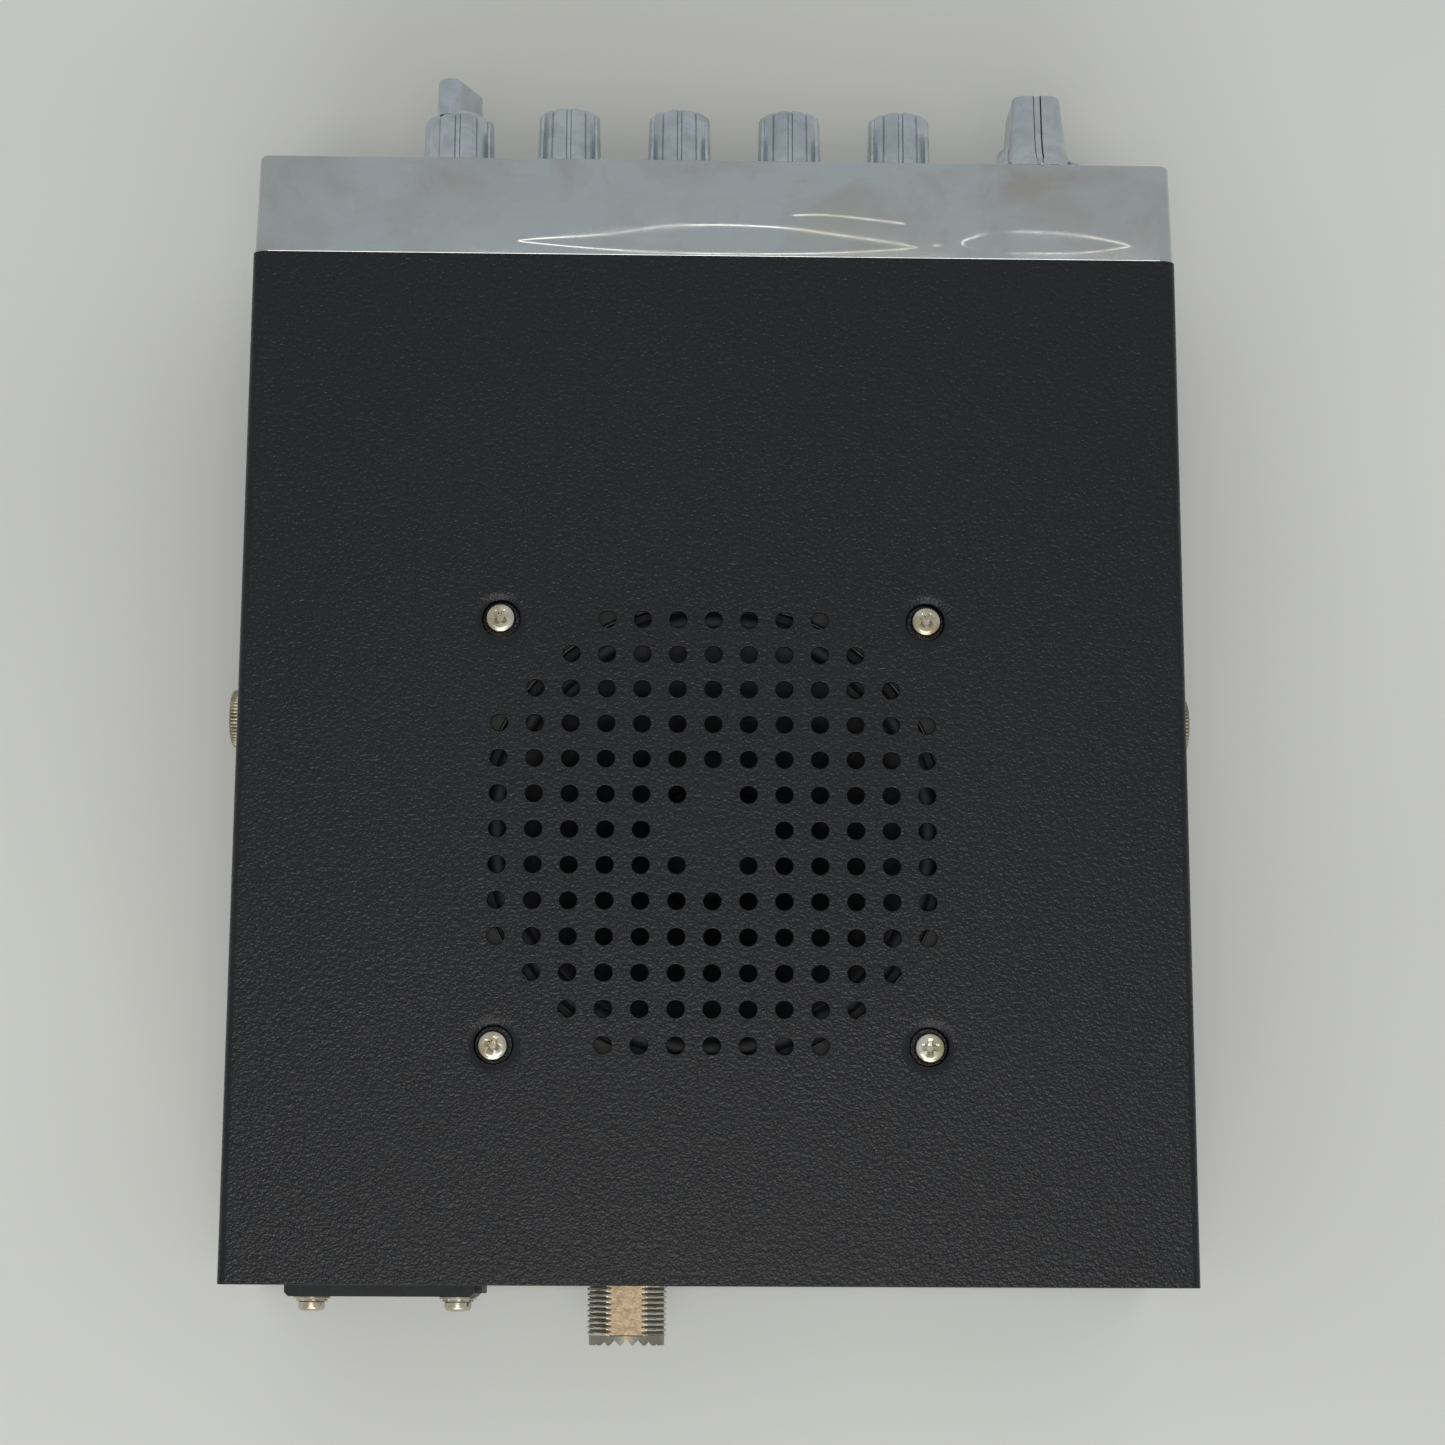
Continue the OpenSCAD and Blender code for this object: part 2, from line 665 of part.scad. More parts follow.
module rf_gain_ring() {
  hole_h = knob_y - ring_shaft_tip + 0.3;
  color("#c4cad0") facing_front(dual_x, knob_y, row_z) difference() {
    fluted_knob(ring_d, ring_d - 0.4, ring_len);
    translate([0, 0, -1]) cylinder(r = shaft_r + 0.02, h = 1 + hole_h);
    cylinder(r = inner_shaft_r + 0.3, h = ring_len + 1);
  }
}

module rf_gain_shaft() {
  color("#d0d2d2") difference() {
    rod_y(shaft_r, ring_shaft_tip, shaft_back, dual_x, row_z);
    rod_y(inner_shaft_r + shaft_clear, ring_shaft_tip - 1, shaft_back + 1, dual_x, row_z);
  }
}

module volume_knob() {
  color("#c4cad0") facing_front(dual_x, bar_y, row_z) difference() {
    union() {
      rotate(-bar_lean) linear_extrude(bar_len) polygon(stadium(bar_span, bar_t));
      cylinder(r = bar_t, h = 1);
    }
    translate([0, 0, -1]) cylinder(r = inner_shaft_r + 0.02, h = 1 + bar_y - inner_tip + 0.2);
  }
}

module volume_shaft() {
  color("#d0d2d2") rod_y(inner_shaft_r, inner_tip, inner_back, dual_x, row_z);
}

module channel_knob() {
  skirt_h = 1.4;
  neck_r = skirt_d / 2 - 4.5;
  neck_h = 6.4;
  flare = neck_h - skirt_h;
  groove = 1.3;
  skirt_flutes = 24;
  color("#c4cad0") facing_front(channel_x, knob_y, row_z) difference() {
    union() {
      rotate_extrude() polygon(concat([[0, 0], [skirt_d / 2, 0], [skirt_d / 2, skirt_h]],
        arc(neck_r + 4.2, neck_h, 4.2, 229, 180, 5), [[0, neck_h]]));
      hull() {
        linear_extrude(0.1) polygon(rounded_outline(12.6, 19.5, 3));
        translate([0, 0, channel_len - 0.6]) linear_extrude(0.1) polygon(rounded_outline(9.8, 15.4, 2.4));
        translate([0, 0, channel_len - 0.1]) linear_extrude(0.1) polygon(rounded_outline(8.8, 14.4, 1.9));
      }
    }
    for (s = [-1, 1]) translate([-groove / 2, s * 9.4 - 1.5, 5]) cube([groove, 3, channel_len]);
    translate([-groove / 2, -10, channel_len - 0.5]) cube([groove, 20, 1]);
    translate([0, 0, -1]) cylinder(r = shaft_r + 0.02, h = 1 + knob_y - channel_tip + 0.3);
    for (i = [0:skirt_flutes - 1]) rotate((i + 0.5) * 360 / skirt_flutes)
      translate([skirt_d / 2 + 0.3, 0, -1]) cylinder(r = 0.8, h = skirt_h + 3);
  }
}

module pot(x, sections) {
  back = sub_back + pot_len * sections;
  difference() {
    union() {
      rod_y(bush_r, sub_y - bush_len, sub_back + eps, x, row_z);
      rod_y(pot_r, sub_back, back, x, row_z);
      for (s = [0:sections - 1]) for (i = [-1, 0, 1])
        translate([x + i * 4.5, sub_back + 4 + s * pot_len, row_z])
          block([-0.6, -0.3, -pot_r - 3.5], [0.6, 0.3, -pot_r + 2]);
    }
    rod_y(shaft_r + shaft_clear, sub_y - bush_len - 1, shaft_back + 0.3, x, row_z);
    if (sections > 1) rod_y(inner_shaft_r + shaft_clear, sub_y, inner_back + 0.3, x, row_z);
  }
}

module control_pots() {
  color("#8f9496") {
    pot(dual_x, 2);
    for (x = single_x) pot(x, 1);
  }
}

module channel_switch() {
  back = sub_back + switch_len;
  color("#7a6a4a") difference() {
    union() {
      rod_y(bush_r, sub_y - bush_len, sub_back + eps, channel_x, row_z);
      rod_y(switch_r, sub_back, sub_back + 4, channel_x, row_z);
      rod_y(switch_r - 3, sub_back + 3.9, back - 2, channel_x, row_z);
      rod_y(switch_r, back - 2.1, back, channel_x, row_z);
      for (s = [-1, 1]) rod_y(1.4, sub_back + 3.9, back - 2, channel_x + s * (switch_r - 2), row_z);
    }
    rod_y(shaft_r + shaft_clear, sub_y - bush_len - 1, shaft_back + 2.3, channel_x, row_z);
  }
}

module control_nuts() {
  color("#c9c7b8") for (x = concat(pot_x, [channel_x]))
    facing_front(x, sub_y, row_z) hex_nut(2 * bush_r + 3, 2.4, bush_r + 0.02);
}

// ---- toggle switches ----

module toggle_lever(x) {
  grip_len = 11;
  color("#d2d6d8") difference() {
    translate([x, toggle_pivot_y, window_z]) rotate([90, 0, 0]) union() {
      sphere(r = toggle_bore_r - 0.2);
      cylinder(r1 = 1.05, r2 = 1.5, h = grip_len - 1);
      translate([0, 0, grip_len - 1]) sphere(r = 1.5);
    }
    rod_x(toggle_pin_r + 0.05, x - 2, x + 2, toggle_pivot_y, window_z);
  }
}

module toggle_bodies() {
  back = sub_back + 10;
  color("#7c2f22") for (x = toggle_x) union() {
    rod_x(toggle_pin_r, x - toggle_bush_r + 0.4, x + toggle_bush_r - 0.4, toggle_pivot_y, window_z);
    difference() {
      union() {
        rod_y(toggle_bush_r, toggle_mouth_y, sub_back + eps, x, window_z);
        block([x - 4, sub_back, window_z - 6.5], [x + 4, back, window_z + 6.5]);
        for (s = [-1, 0, 1]) block([x - 1, back - 1, window_z + s * 4.7 - 0.4],
                                  [x + 1, back + 4, window_z + s * 4.7 + 0.4]);
      }
      rod_y(toggle_bore_r, toggle_mouth_y - 1, toggle_pivot_y + 3, x, window_z);
    }
  }
}

module toggle_nuts() {
  color("#d2d6d8") for (x = toggle_x)
    facing_front(x, face_y + plate_sink, window_z) hex_nut(8, 1.5, toggle_bush_r + 0.02);
}

// ---- microphone socket ----

module mic_jack() {
  color("#cfd2d3") difference() {
    union() {
      rod_y(mic_r, face_y - mic_proud, mic_back, mic_x, row_z);
      rod_y(mic_r + 1.1, sub_back, sub_back + 1.6, mic_x, row_z);
    }
    rod_y(mic_bore_r, face_y - mic_proud - 1, mic_back + 1, mic_x, row_z);
  }
}

module mic_jack_insert() {
  color("#1c1c1e") {
    difference() {
      rod_y(mic_bore_r - 0.02, mic_floor, mic_back, mic_x, row_z);
      for (p = mic_pins) rod_y(0.82, mic_floor - 1, mic_back + 1, mic_x + p[0], row_z + p[1]);
    }
    for (p = mic_pins) rod_y(0.8, mic_floor - mic_pin_len, mic_back + 4, mic_x + p[0], row_z + p[1]);
  }
}
mic_pins = [for (a = [45:90:315]) 3.2 * [cos(a), sin(a)]];

// ---- rear ----

// Outline of the threaded barrel, radius against length from the flange
function thread_outline(len, turns) = concat(
  [[antenna_r - 0.55, 0]],
  [for (i = [0:turns - 1]) for (k = [0, 1, 2, 3])
    [antenna_r - [0.55, 0, 0, 0.55][k], len - (turns - i - [0, 0.42, 0.55, 1][k]) * antenna_pitch]]);

module antenna_socket() {
  length = antenna_tip - panel_in;
  crown = 1.95;
  thread_len = length - crown;
  turns = floor((thread_len - rear_t - 0.4) / antenna_pitch);
  crown_r = antenna_r - 0.6;
  flat_h = sqrt(antenna_r * antenna_r - antenna_flat * antenna_flat / 4);
  color("#cfc7ae") difference() {
    union() {
      block([antenna_x - socket_flange / 2, panel_in - socket_flange_t, mid_z - socket_flange / 2],
            [antenna_x + socket_flange / 2, panel_in, mid_z + socket_flange / 2]);
      translate([antenna_x, panel_in, mid_z]) rotate([-90, 0, 0]) rotate_extrude()
        polygon(concat([[0, -1]], [[antenna_r - 0.55, -1]], thread_outline(thread_len, turns),
                       [[crown_r, length - crown + 0.3], [crown_r - 0.2, length], [0, length]]));
      rod_y(barrel_bore_r + 1, panel_in - 6, panel_in, antenna_x, mid_z);
    }
    rod_y(barrel_bore_r, panel_in - 7, antenna_tip + 1, antenna_x, mid_z);
    for (z = [mid_z + flat_h, mid_z - flat_h - 3])
      block([antenna_x - 8, panel_in + 0.5, z], [antenna_x + 8, antenna_tip - crown, z + 3]);
    for (i = [0:crown_teeth - 1])
      translate([antenna_x, antenna_tip, mid_z]) rotate([0, i * 360 / crown_teeth, 0])
        translate([crown_r - 2, 0, 0]) rotate([0, 90, 0])
          linear_extrude(4) polygon([[-1.0, 0.1], [0, -1.3], [1.0, 0.1]]);
    for (p = antenna_spots) rod_y(m3_hole_r, panel_in - 3, panel_in + 1, p[0], p[1]);
  }
}

module antenna_insulator() {
  color("#e9e4d2") difference() {
    rod_y(barrel_bore_r - 0.02, panel_in - 6, antenna_tip - 10, antenna_x, mid_z);
    rod_y(contact_r + 0.02, panel_in - 8, antenna_tip, antenna_x, mid_z);
  }
}

module antenna_contact() {
  mouth = antenna_tip - 1.8;
  color("#d9c27a") difference() {
    rod_y(contact_r, panel_in - 11, mouth, antenna_x, mid_z);
    rod_y(contact_bore_r, mouth - 13, mouth + 1, antenna_x, mid_z);
    rod_y(1.4, panel_in - 12, panel_in - 7, antenna_x, mid_z);
  }
}

module antenna_screws() {
  nut_y = panel_in - socket_flange_t;
  length = panel_out - nut_y + 3;
  color("#c9c7b8") for (p = antenna_spots) translate([p[0], 0, p[1]]) {
    translate([0, panel_out, 0]) rotate([-90, 0, 0]) pan_screw(pan_r - 0.2, 1.8, m3_r, length);
    translate([0, nut_y, 0]) rotate([90, 0, 0]) hex_nut(5.5, 2.2, m3_r + 0.02);
  }
}

module power_socket() {
  x = -power_x;
  front = panel_out + power_flange_t;
  color("#1a1a1c") difference() {
    union() {
      along_y(panel_out, front) translate([x, mid_z])
        polygon(rounded_outline(power_w + 4, power_h + 4, 1.5));
      block([x - power_w / 2, front - power_depth - 2, mid_z - power_h / 2],
            [x + power_w / 2, panel_out + eps, mid_z + power_h / 2]);
    }
    block([x - power_w / 2 + power_wall, front - power_depth, mid_z - power_h / 2 + power_wall],
          [x + power_w / 2 - power_wall, front + 1, mid_z + power_h / 2 - power_wall]);
    for (i = [-1, 0, 1]) rod_y(1.12, front - power_depth - 3, front - power_depth + 1, x + i * 5.5, mid_z);
  }
}

module power_pins() {
  front = panel_out + power_flange_t;
  color("#d8d4c4") for (i = [-1, 0, 1])
    rod_y(1.1, front - power_depth - 7, front - power_depth + 6, -power_x + i * 5.5, mid_z);
}

module speaker_jacks() {
  color("#2b2b2e") for (x = jack_places) {
    difference() {
      union() {
        rod_y(jack_bush_r, panel_in - eps, panel_out + 3.4, x, mid_z);
        block([x - 4.8, panel_in - 13, mid_z - 5], [x + 4.8, panel_in, mid_z + 5]);
      }
      rod_y(jack_r, panel_in - 12, panel_out + 5, x, mid_z);
    }
    difference() {
      along_y(panel_out, panel_out + 2.1) translate([x, mid_z]) polygon(toothed(4.6, 0.3, 24));
      rod_y(jack_bush_r + 0.02, panel_out - 1, panel_out + 4, x, mid_z);
    }
  }
}

module heat_plate() {
  chamfer = 0.8;
  color("#1b1c1e") difference() {
    union() {
      translate([heat_x, 0, mid_z - heat_h / 2]) linear_extrude(heat_h) polygon([
        [-heat_w / 2, panel_out], [heat_w / 2, panel_out], [heat_w / 2, heat_y - chamfer],
        [heat_w / 2 - chamfer, heat_y], [chamfer - heat_w / 2, heat_y], [-heat_w / 2, heat_y - chamfer]]);
      block([heat_x - heat_w / 2 - 1.2, panel_out, mid_z - heat_h / 2 + 4],
            [heat_x - heat_w / 2 + eps, heat_y - 0.7, mid_z + heat_h / 2 - 4]);
    }
    for (x = heat_holes) rod_y(m3_hole_r, panel_out - 1, heat_y + 1, x, mid_z);
    for (i = [-1, 1]) for (k = [5, 8, 11]) block([heat_x - heat_w / 2 + 3, heat_y - 2, mid_z + i * k - 0.6],
                                              [heat_x + heat_w / 2 - 3, heat_y + 1, mid_z + i * k + 0.6]);
  }
}

module heat_plate_screws() {
  washer_t = 0.5;
  length = heat_y + 2 * washer_t - panel_in + bar_t_heat - 1;
  color("#cfc9a8") for (x = heat_holes) translate([x, heat_y, mid_z]) rotate([-90, 0, 0]) {
    difference() {
      union() {
        cylinder(r = 3.7, h = washer_t);
        translate([0, 0, washer_t]) linear_extrude(washer_t) polygon(toothed(3.15, 0.35, 12));
      }
      translate([0, 0, -1]) cylinder(r = m3_r + 0.02, h = 3);
    }
    translate([0, 0, 2 * washer_t]) pan_screw(2.7, 1.9, m3_r, length);
  }
}

// The hexagonal shank that keeps a standoff from turning, or the hole for it
module standoff_hex(grow, x0, x1) {
  r = (standoff_shank / 2 + grow) / cos(30);
  translate([x0, -standoff_y, mid_z]) rotate([0, 90, 0]) cylinder(r = r, h = x1 - x0, $fn = 6);
}

module bracket_standoff() {
  head_x = half_w + standoff_len;
  difference() {
    union() {
      translate([half_w, -standoff_y, mid_z]) rotate([0, 90, 0])
        linear_extrude(standoff_len) polygon(toothed(standoff_r, 0.3, 48));
      standoff_hex(0, standoff_in, half_w + eps);
    }
    rod_x(bracket_hole_r, standoff_in - 1, head_x + 1, -standoff_y, mid_z);
  }
}

module bracket_standoffs() {
  color("#c8c4b4") mirrored_x() bracket_standoff();
}

module cover_screws() {
  length = sheet + fit + rail_t + 2;
  color("#1d1d20") mirrored_x() {
    for (y = cover_screw_y) translate([half_w, y, cover_screw_z]) rotate([0, 90, 0])
      pan_screw(pan_r - 0.2, side_screw_h, m3_core_r, length);
    for (y = base_screw_y) translate([half_w, y, base_screw_z]) rotate([0, 90, 0])
      pan_screw(pan_r - 0.2, side_screw_h, m3_core_r, length);
  }
}

// Countersunk screws that join the panels' flanges to the rails, and the bezel's screws
module chassis_screws() {
  color("#c9c7b8") {
    mirrored_x() for (p = chassis_spots()) translate([rail_x, p[0], p[1]]) rotate([0, 90, 0]) {
      translate([0, 0, -rail_t]) cylinder(r1 = m3_r, r2 = m3_r + rail_t, h = rail_t);
      translate([0, 0, -rail_t - 4]) cylinder(r = m3_core_r, h = 4 + eps);
    }
    for (p = boss_spots) translate([p[0], sub_back, p[1]]) rotate([-90, 0, 0])
      pan_screw(2.6, 1.8, m3_core_r, sub_back - face_in - 1);
    for (p = pillar_spots) translate([p[0], board_front + display_t, p[1]]) rotate([-90, 0, 0])
      pan_screw(2.2, 1.5, 1, 5);
    for (s = [-1, 1]) for (y = board_screw_y) translate([s * (rail_in - ledge_w / 2 - 1), y, board_z])
      pan_screw(2.6, 1.8, m3_core_r, board_t + rail_t + 1);
  }
}

// ---- speaker ----

module speaker_frame() {
  floor_r = magnet_r + 4;
  basket_r = gasket_r + 0.6;
  color("#8c8f8c") translate([0, speaker_y, 0]) difference() {
    union() {
      translate([0, 0, flange_top - flange_t]) linear_extrude(flange_t)
        polygon(rounded_outline(speaker_side, speaker_side, 7));
      rotate_extrude() polygon([[basket_r, flange_top - flange_t / 2], [basket_r, flange_top - 3],
        [floor_r, basket_floor], [0, basket_floor], [0, basket_floor + 1], [floor_r - 0.4, basket_floor + 1],
        [basket_r - 0.9, flange_top - 2.6], [basket_r - 0.9, flange_top - flange_t / 2]]);
    }
    translate([0, 0, flange_top - flange_t - 1]) cylinder(r = basket_r - 0.9, h = flange_t + 2);
    translate([0, 0, basket_floor - 1]) cylinder(r = 13.6, h = 3);
    for (a = [0:90:270]) rotate(a)
      block([floor_r + 1, -13, basket_floor + 3], [basket_r + 2, 13, flange_top - 5]);
    for (p = screw_spots) translate([p[0], p[1] - speaker_y, flange_top - 2])
      cylinder(r = m3_hole_r, h = 4);
  }
}

module speaker_cone() {
  top = flange_top - 1.4;
  t = 0.6;
  r_out = gasket_r - 0.5;
  roll_in = r_out - 6;
  low = top - 19;
  color("#17181c") translate([0, speaker_y, 0]) rotate_extrude() polygon(concat(
    [[r_out, top - t], [r_out, top]],
    arc((r_out + roll_in) / 2 - 0.5, top, (r_out - roll_in) / 2 - 1, 0, 180, 8),
    [[roll_in, top], [coil_r, low + t]],
    arc(0, low - 6.4 + t, 14.1, 27.5, 90, 8),
    [[0, low + 7.1], [0, low + 6.5], [coil_r - 2, low + 0.6], [coil_r - coil_t, low - 0.4],
     [coil_r - coil_t, basket_floor - coil_depth], [coil_r, basket_floor - coil_depth], [coil_r, low],
     [roll_in - 0.2, top - t]]));
}

module speaker_magnet() {
  color("#3b3b3d") translate([0, speaker_y, 0]) {
    difference() {
      translate([0, 0, basket_floor - magnet_t]) cylinder(r = magnet_r, h = magnet_t);
      translate([0, 0, basket_floor - coil_depth - 1]) cylinder(r = coil_r + 0.5, h = magnet_t);
    }
    translate([0, 0, basket_floor - magnet_t + 1]) cylinder(r = coil_r - coil_t - 0.4, h = magnet_t + 1);
  }
}

module speaker_gasket() {
  color("#a4a39a") translate([0, speaker_y, flange_top]) difference() {
    cylinder(r = gasket_r + 4, h = body_h - sheet - flange_top);
    translate([0, 0, -1]) cylinder(r = gasket_r, h = 5);
  }
}

module speaker_screws() {
  grip = cup_wall + flange_t;
  head_z = body_h - dimple_depth;
  color("#d8d3bd") for (p = screw_spots) translate([p[0], p[1], 0]) {
    translate([0, 0, head_z]) pan_screw(pan_r, pan_h, m3_r, grip + 4);
    translate([0, 0, head_z - grip - 2.4]) hex_nut(5.5, 2.4, m3_r + 0.02);
  }
}

// ---- electronics ----

module main_board() {
  color("#2c6b3c") difference() {
    block([-board_half, board_y0, ledge_z], [board_half, board_y1, board_z]);
    for (s = [-1, 1]) for (y = board_screw_y) translate([s * (rail_in - ledge_w / 2 - 1), y, ledge_z - 1])
      cylinder(r = m3_hole_r, h = 4);
  }
}

// Rows of tuned coils in tinned cans, ahead of the speaker
module shield_cans() {
  can = 10;
  color("#c2c5c4") for (i = [0:4]) for (j = [0:2])
    translate([-board_half + 14 + i * 13.5, board_y0 + 8 + j * 13.5, board_z]) difference() {
      cube([can, can, 13]);
      translate([can / 2, can / 2, 10]) cylinder(r = 2.4, h = 4);
    }
}

module board_parts() {
  front = board_y0 + 8;
  color("#23262c") {
    for (i = [0:3]) for (j = [0:1]) translate([board_half - 24 - i * 15, front + 6 + j * 17, board_z])
      cylinder(r = 5 + j, h = 14 + 5 * j);
    for (i = [0:4]) translate([-50 + i * 22, speaker_y - 3 + 8 * (i % 2), board_z]) cube([14, 7, 3.4]);
    translate([-board_half + 12, board_y1 - 34, board_z]) cube([26, 20, 22]);
    translate([board_half - 40, board_y1 - 40, board_z]) cube([16, 12, 15]);
  }
}

module heat_bar() {
  x0 = heat_x - heat_w / 2 - 4;
  x1 = rear_flange_x - rear_t - 1;
  color("#b4b8ba") difference() {
    block([x0, panel_in - bar_t_heat, mid_z - 10], [x1, panel_in, mid_z + 10]);
    for (x = heat_holes) rod_y(m3_r + 0.02, panel_in - bar_t_heat - 1, panel_in + 1, x, mid_z);
  }
}

module power_transistors() {
  back = panel_in - bar_t_heat;
  color("#202022") for (x = [heat_x - 16, heat_x, heat_x + 16]) union() {
    block([x - 5, back - 4.5, mid_z - 9], [x + 5, back, mid_z + 1]);
    block([x - 5, back - 1.3, mid_z], [x + 5, back, mid_z + 7.5]);
    for (lead = [-2.5, 0, 2.5])
      block([x + lead - 0.4, back - 3, board_z], [x + lead + 0.4, back - 2.4, mid_z - 8]);
  }
}

// A wire of straight runs with round corners
module wire(points, r) {
  for (i = [0:len(points) - 2]) {
    d = points[i + 1] - points[i];
    length = norm(d);
    translate(points[i]) rotate([0, acos(d[2] / length), atan2(d[1], d[0])]) cylinder(r = r, h = length);
    if (i > 0) translate(points[i]) sphere(r = r);
  }
}

module wiring() {
  front = panel_out + power_flange_t;
  tail_y = front - power_depth - 7.3;
  color("#8a2420") {
    for (i = [-1, 1]) wire([[-power_x + i * 5.5, tail_y, mid_z], [-power_x + i * 5.5, tail_y - 3, mid_z],
                            [-power_x + i * 5.5, tail_y - 3, board_z]], 1.1);
    wire([[antenna_x, panel_in - 11.3, mid_z], [antenna_x, panel_in - 17, mid_z],
          [antenna_x, panel_in - 17, board_z]], 1.3);
    wire([[antenna_x, speaker_y - 34, basket_floor], [antenna_x, speaker_y - 50, basket_floor],
          [antenna_x, speaker_y - 50, board_z]], 0.8);
  }
}

speaker_cover();
base_cover();
side_rails();
rear_panel();
front_subpanel();
front_bezel();
front_plate();
display_windows();
frequency_display();
meter_display();
display_board();
status_lamps();
volume_knob();
volume_shaft();
rf_gain_ring();
rf_gain_shaft();
for (i = [0:3]) {
  single_knob(single_x[i]);
  single_shaft(single_x[i]);
  toggle_lever(toggle_x[i]);
}
channel_knob();
channel_shaft();
control_pots();
channel_switch();
control_nuts();
toggle_bodies();
toggle_nuts();
mic_jack();
mic_jack_insert();
antenna_socket();
antenna_insulator();
antenna_contact();
antenna_screws();
power_socket();
power_pins();
speaker_jacks();
heat_plate();
heat_plate_screws();
bracket_standoffs();
cover_screws();
speaker_frame();
speaker_cone();
speaker_magnet();
speaker_gasket();
speaker_screws();
main_board();
shield_cans();
board_parts();
heat_bar();
power_transistors();
chassis_screws();
wiring();
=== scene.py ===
import bpy, bmesh
from math import pi, sin, cos, exp, erf, radians, sqrt, hypot, atan2
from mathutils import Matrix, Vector


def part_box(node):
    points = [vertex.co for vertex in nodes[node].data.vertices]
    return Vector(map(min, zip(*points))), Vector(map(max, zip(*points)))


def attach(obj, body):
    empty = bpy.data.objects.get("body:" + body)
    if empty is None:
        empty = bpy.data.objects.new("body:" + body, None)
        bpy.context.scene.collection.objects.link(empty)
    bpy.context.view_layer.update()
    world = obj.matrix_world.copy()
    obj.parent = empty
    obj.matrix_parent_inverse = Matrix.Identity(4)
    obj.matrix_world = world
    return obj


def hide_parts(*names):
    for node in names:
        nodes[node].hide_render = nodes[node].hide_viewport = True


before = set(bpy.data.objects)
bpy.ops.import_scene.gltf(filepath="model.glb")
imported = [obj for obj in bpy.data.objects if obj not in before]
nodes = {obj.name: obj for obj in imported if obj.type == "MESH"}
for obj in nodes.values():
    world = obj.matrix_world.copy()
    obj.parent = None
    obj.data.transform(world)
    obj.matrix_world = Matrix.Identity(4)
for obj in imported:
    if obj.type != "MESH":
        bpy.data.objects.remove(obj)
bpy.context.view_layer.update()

# A mobile transceiver lying on its base: black covers, a chromed bezel with seven controls,
# and a speaker under the perforated top. Lengths in the dictionaries are in millimetres.
mm = 0.001
scene = bpy.context.scene
print("frame loaded,", len(nodes), "nodes")


def nodeBox(name):   # a node's lowest and highest corner, in millimetres
    low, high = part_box(name)
    return [c / mm for c in low], [c / mm for c in high]


def middleOf(name):   # the middle of a node's box, in millimetres
    return [(a + b) / 2 for a, b in zip(*nodeBox(name))]


# small tools for meshes and pieces

def meshOf(name, points, faces):   # points in millimetres
    mesh = bpy.data.meshes.new(name)
    mesh.from_pydata([Vector(p) * mm for p in points], [], faces)
    return mesh


def tidyMesh(mesh):   # joins doubled points, then turns every face outwards
    bm = bmesh.new()
    bm.from_mesh(mesh)
    bmesh.ops.remove_doubles(bm, verts=bm.verts, dist=2e-6)
    bmesh.ops.dissolve_degenerate(bm, dist=1e-7, edges=bm.edges)
    bmesh.ops.recalc_face_normals(bm, faces=bm.faces)
    bm.to_mesh(mesh)
    bm.free()
    return mesh


def shellFaces(rows, count, start, isLoop):   # a loop closes on itself, a stack is capped at both ends
    faces = []
    for i in range(rows if isLoop else rows - 1):
        below, above = start + i * count, start + (i + 1) % rows * count
        for j in range(count):
            k = (j + 1) % count
            faces.append((below + j, below + k, above + k, above + j))
    if not isLoop:
        faces.append(tuple(start + j for j in reversed(range(count))))
        faces.append(tuple(start + (rows - 1) * count + j for j in range(count)))
    return faces


def meshOfShells(name, stacks, loops=()):   # each shell is rings of points, all of one length
    points, faces = [], []
    for rings, isLoop in [(r, False) for r in stacks] + [(r, True) for r in loops]:
        faces += shellFaces(len(rings), len(rings[0]), len(points), isLoop)
        points += [p for ring in rings for p in ring]
    return tidyMesh(meshOf(name, points, faces))


def circle(radius, count):   # points evenly spaced round a circle, from +X
    return [(radius * cos(2 * pi * k / count), radius * sin(2 * pi * k / count)) for k in range(count)]


def turnedRings(profile, count):   # a profile of (radius, height) turned round Z
    return [[(x, y, h) for x, y in circle(r, count)] for r, h in profile]


def smoothed(mesh, angle=35):   # smooth shading, with creases where faces meet more sharply
    mesh.shade_smooth()
    mesh.set_sharp_from_angle(angle=radians(angle))
    return mesh


def rounded(piece, width, segments=2, angle=35):   # softens the edges by a width in millimetres
    bevel = piece.modifiers.new("edges", "BEVEL")
    bevel.width = width * mm
    bevel.segments = segments
    bevel.limit_method = "ANGLE"
    bevel.angle_limit = radians(angle)
    bevel.harden_normals = False
    normals = piece.modifiers.new("normals", "WEIGHTED_NORMAL")
    normals.keep_sharp = True


def asPiece(name, mesh, material, body, slotName, *replaced):
    piece = bpy.data.objects.new(name, mesh)
    scene.collection.objects.link(piece)
    if material:
        mesh.materials.clear()
        mesh.materials.append(material)
    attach(piece, body)
    if replaced:
        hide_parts(*replaced)
    return piece


def dulled(mesh, material, chosen):   # gives the faces that are chosen a second material
    mesh.materials.append(material)
    for face in mesh.polygons:
        if chosen(face):
            face.material_index = 1


def nodeMesh(node):   # a merged copy of a CAD node's mesh, its flat sides made single faces
    bm = bmesh.new()
    bm.from_mesh(nodes[node].data)
    bmesh.ops.remove_doubles(bm, verts=bm.verts, dist=1e-6)
    bmesh.ops.dissolve_limit(bm, angle_limit=radians(0.6), verts=bm.verts, edges=bm.edges)
    mesh = bpy.data.meshes.new(node + "Soft")
    bm.to_mesh(mesh)
    bm.free()
    return mesh


def softened(node, width, material, slotName, segments=2, body="chassis", angle=32):
    piece = asPiece(node + "_soft", smoothed(nodeMesh(node), angle), material, body, slotName, node)
    rounded(piece, width, segments, angle)


# small tools for node trees

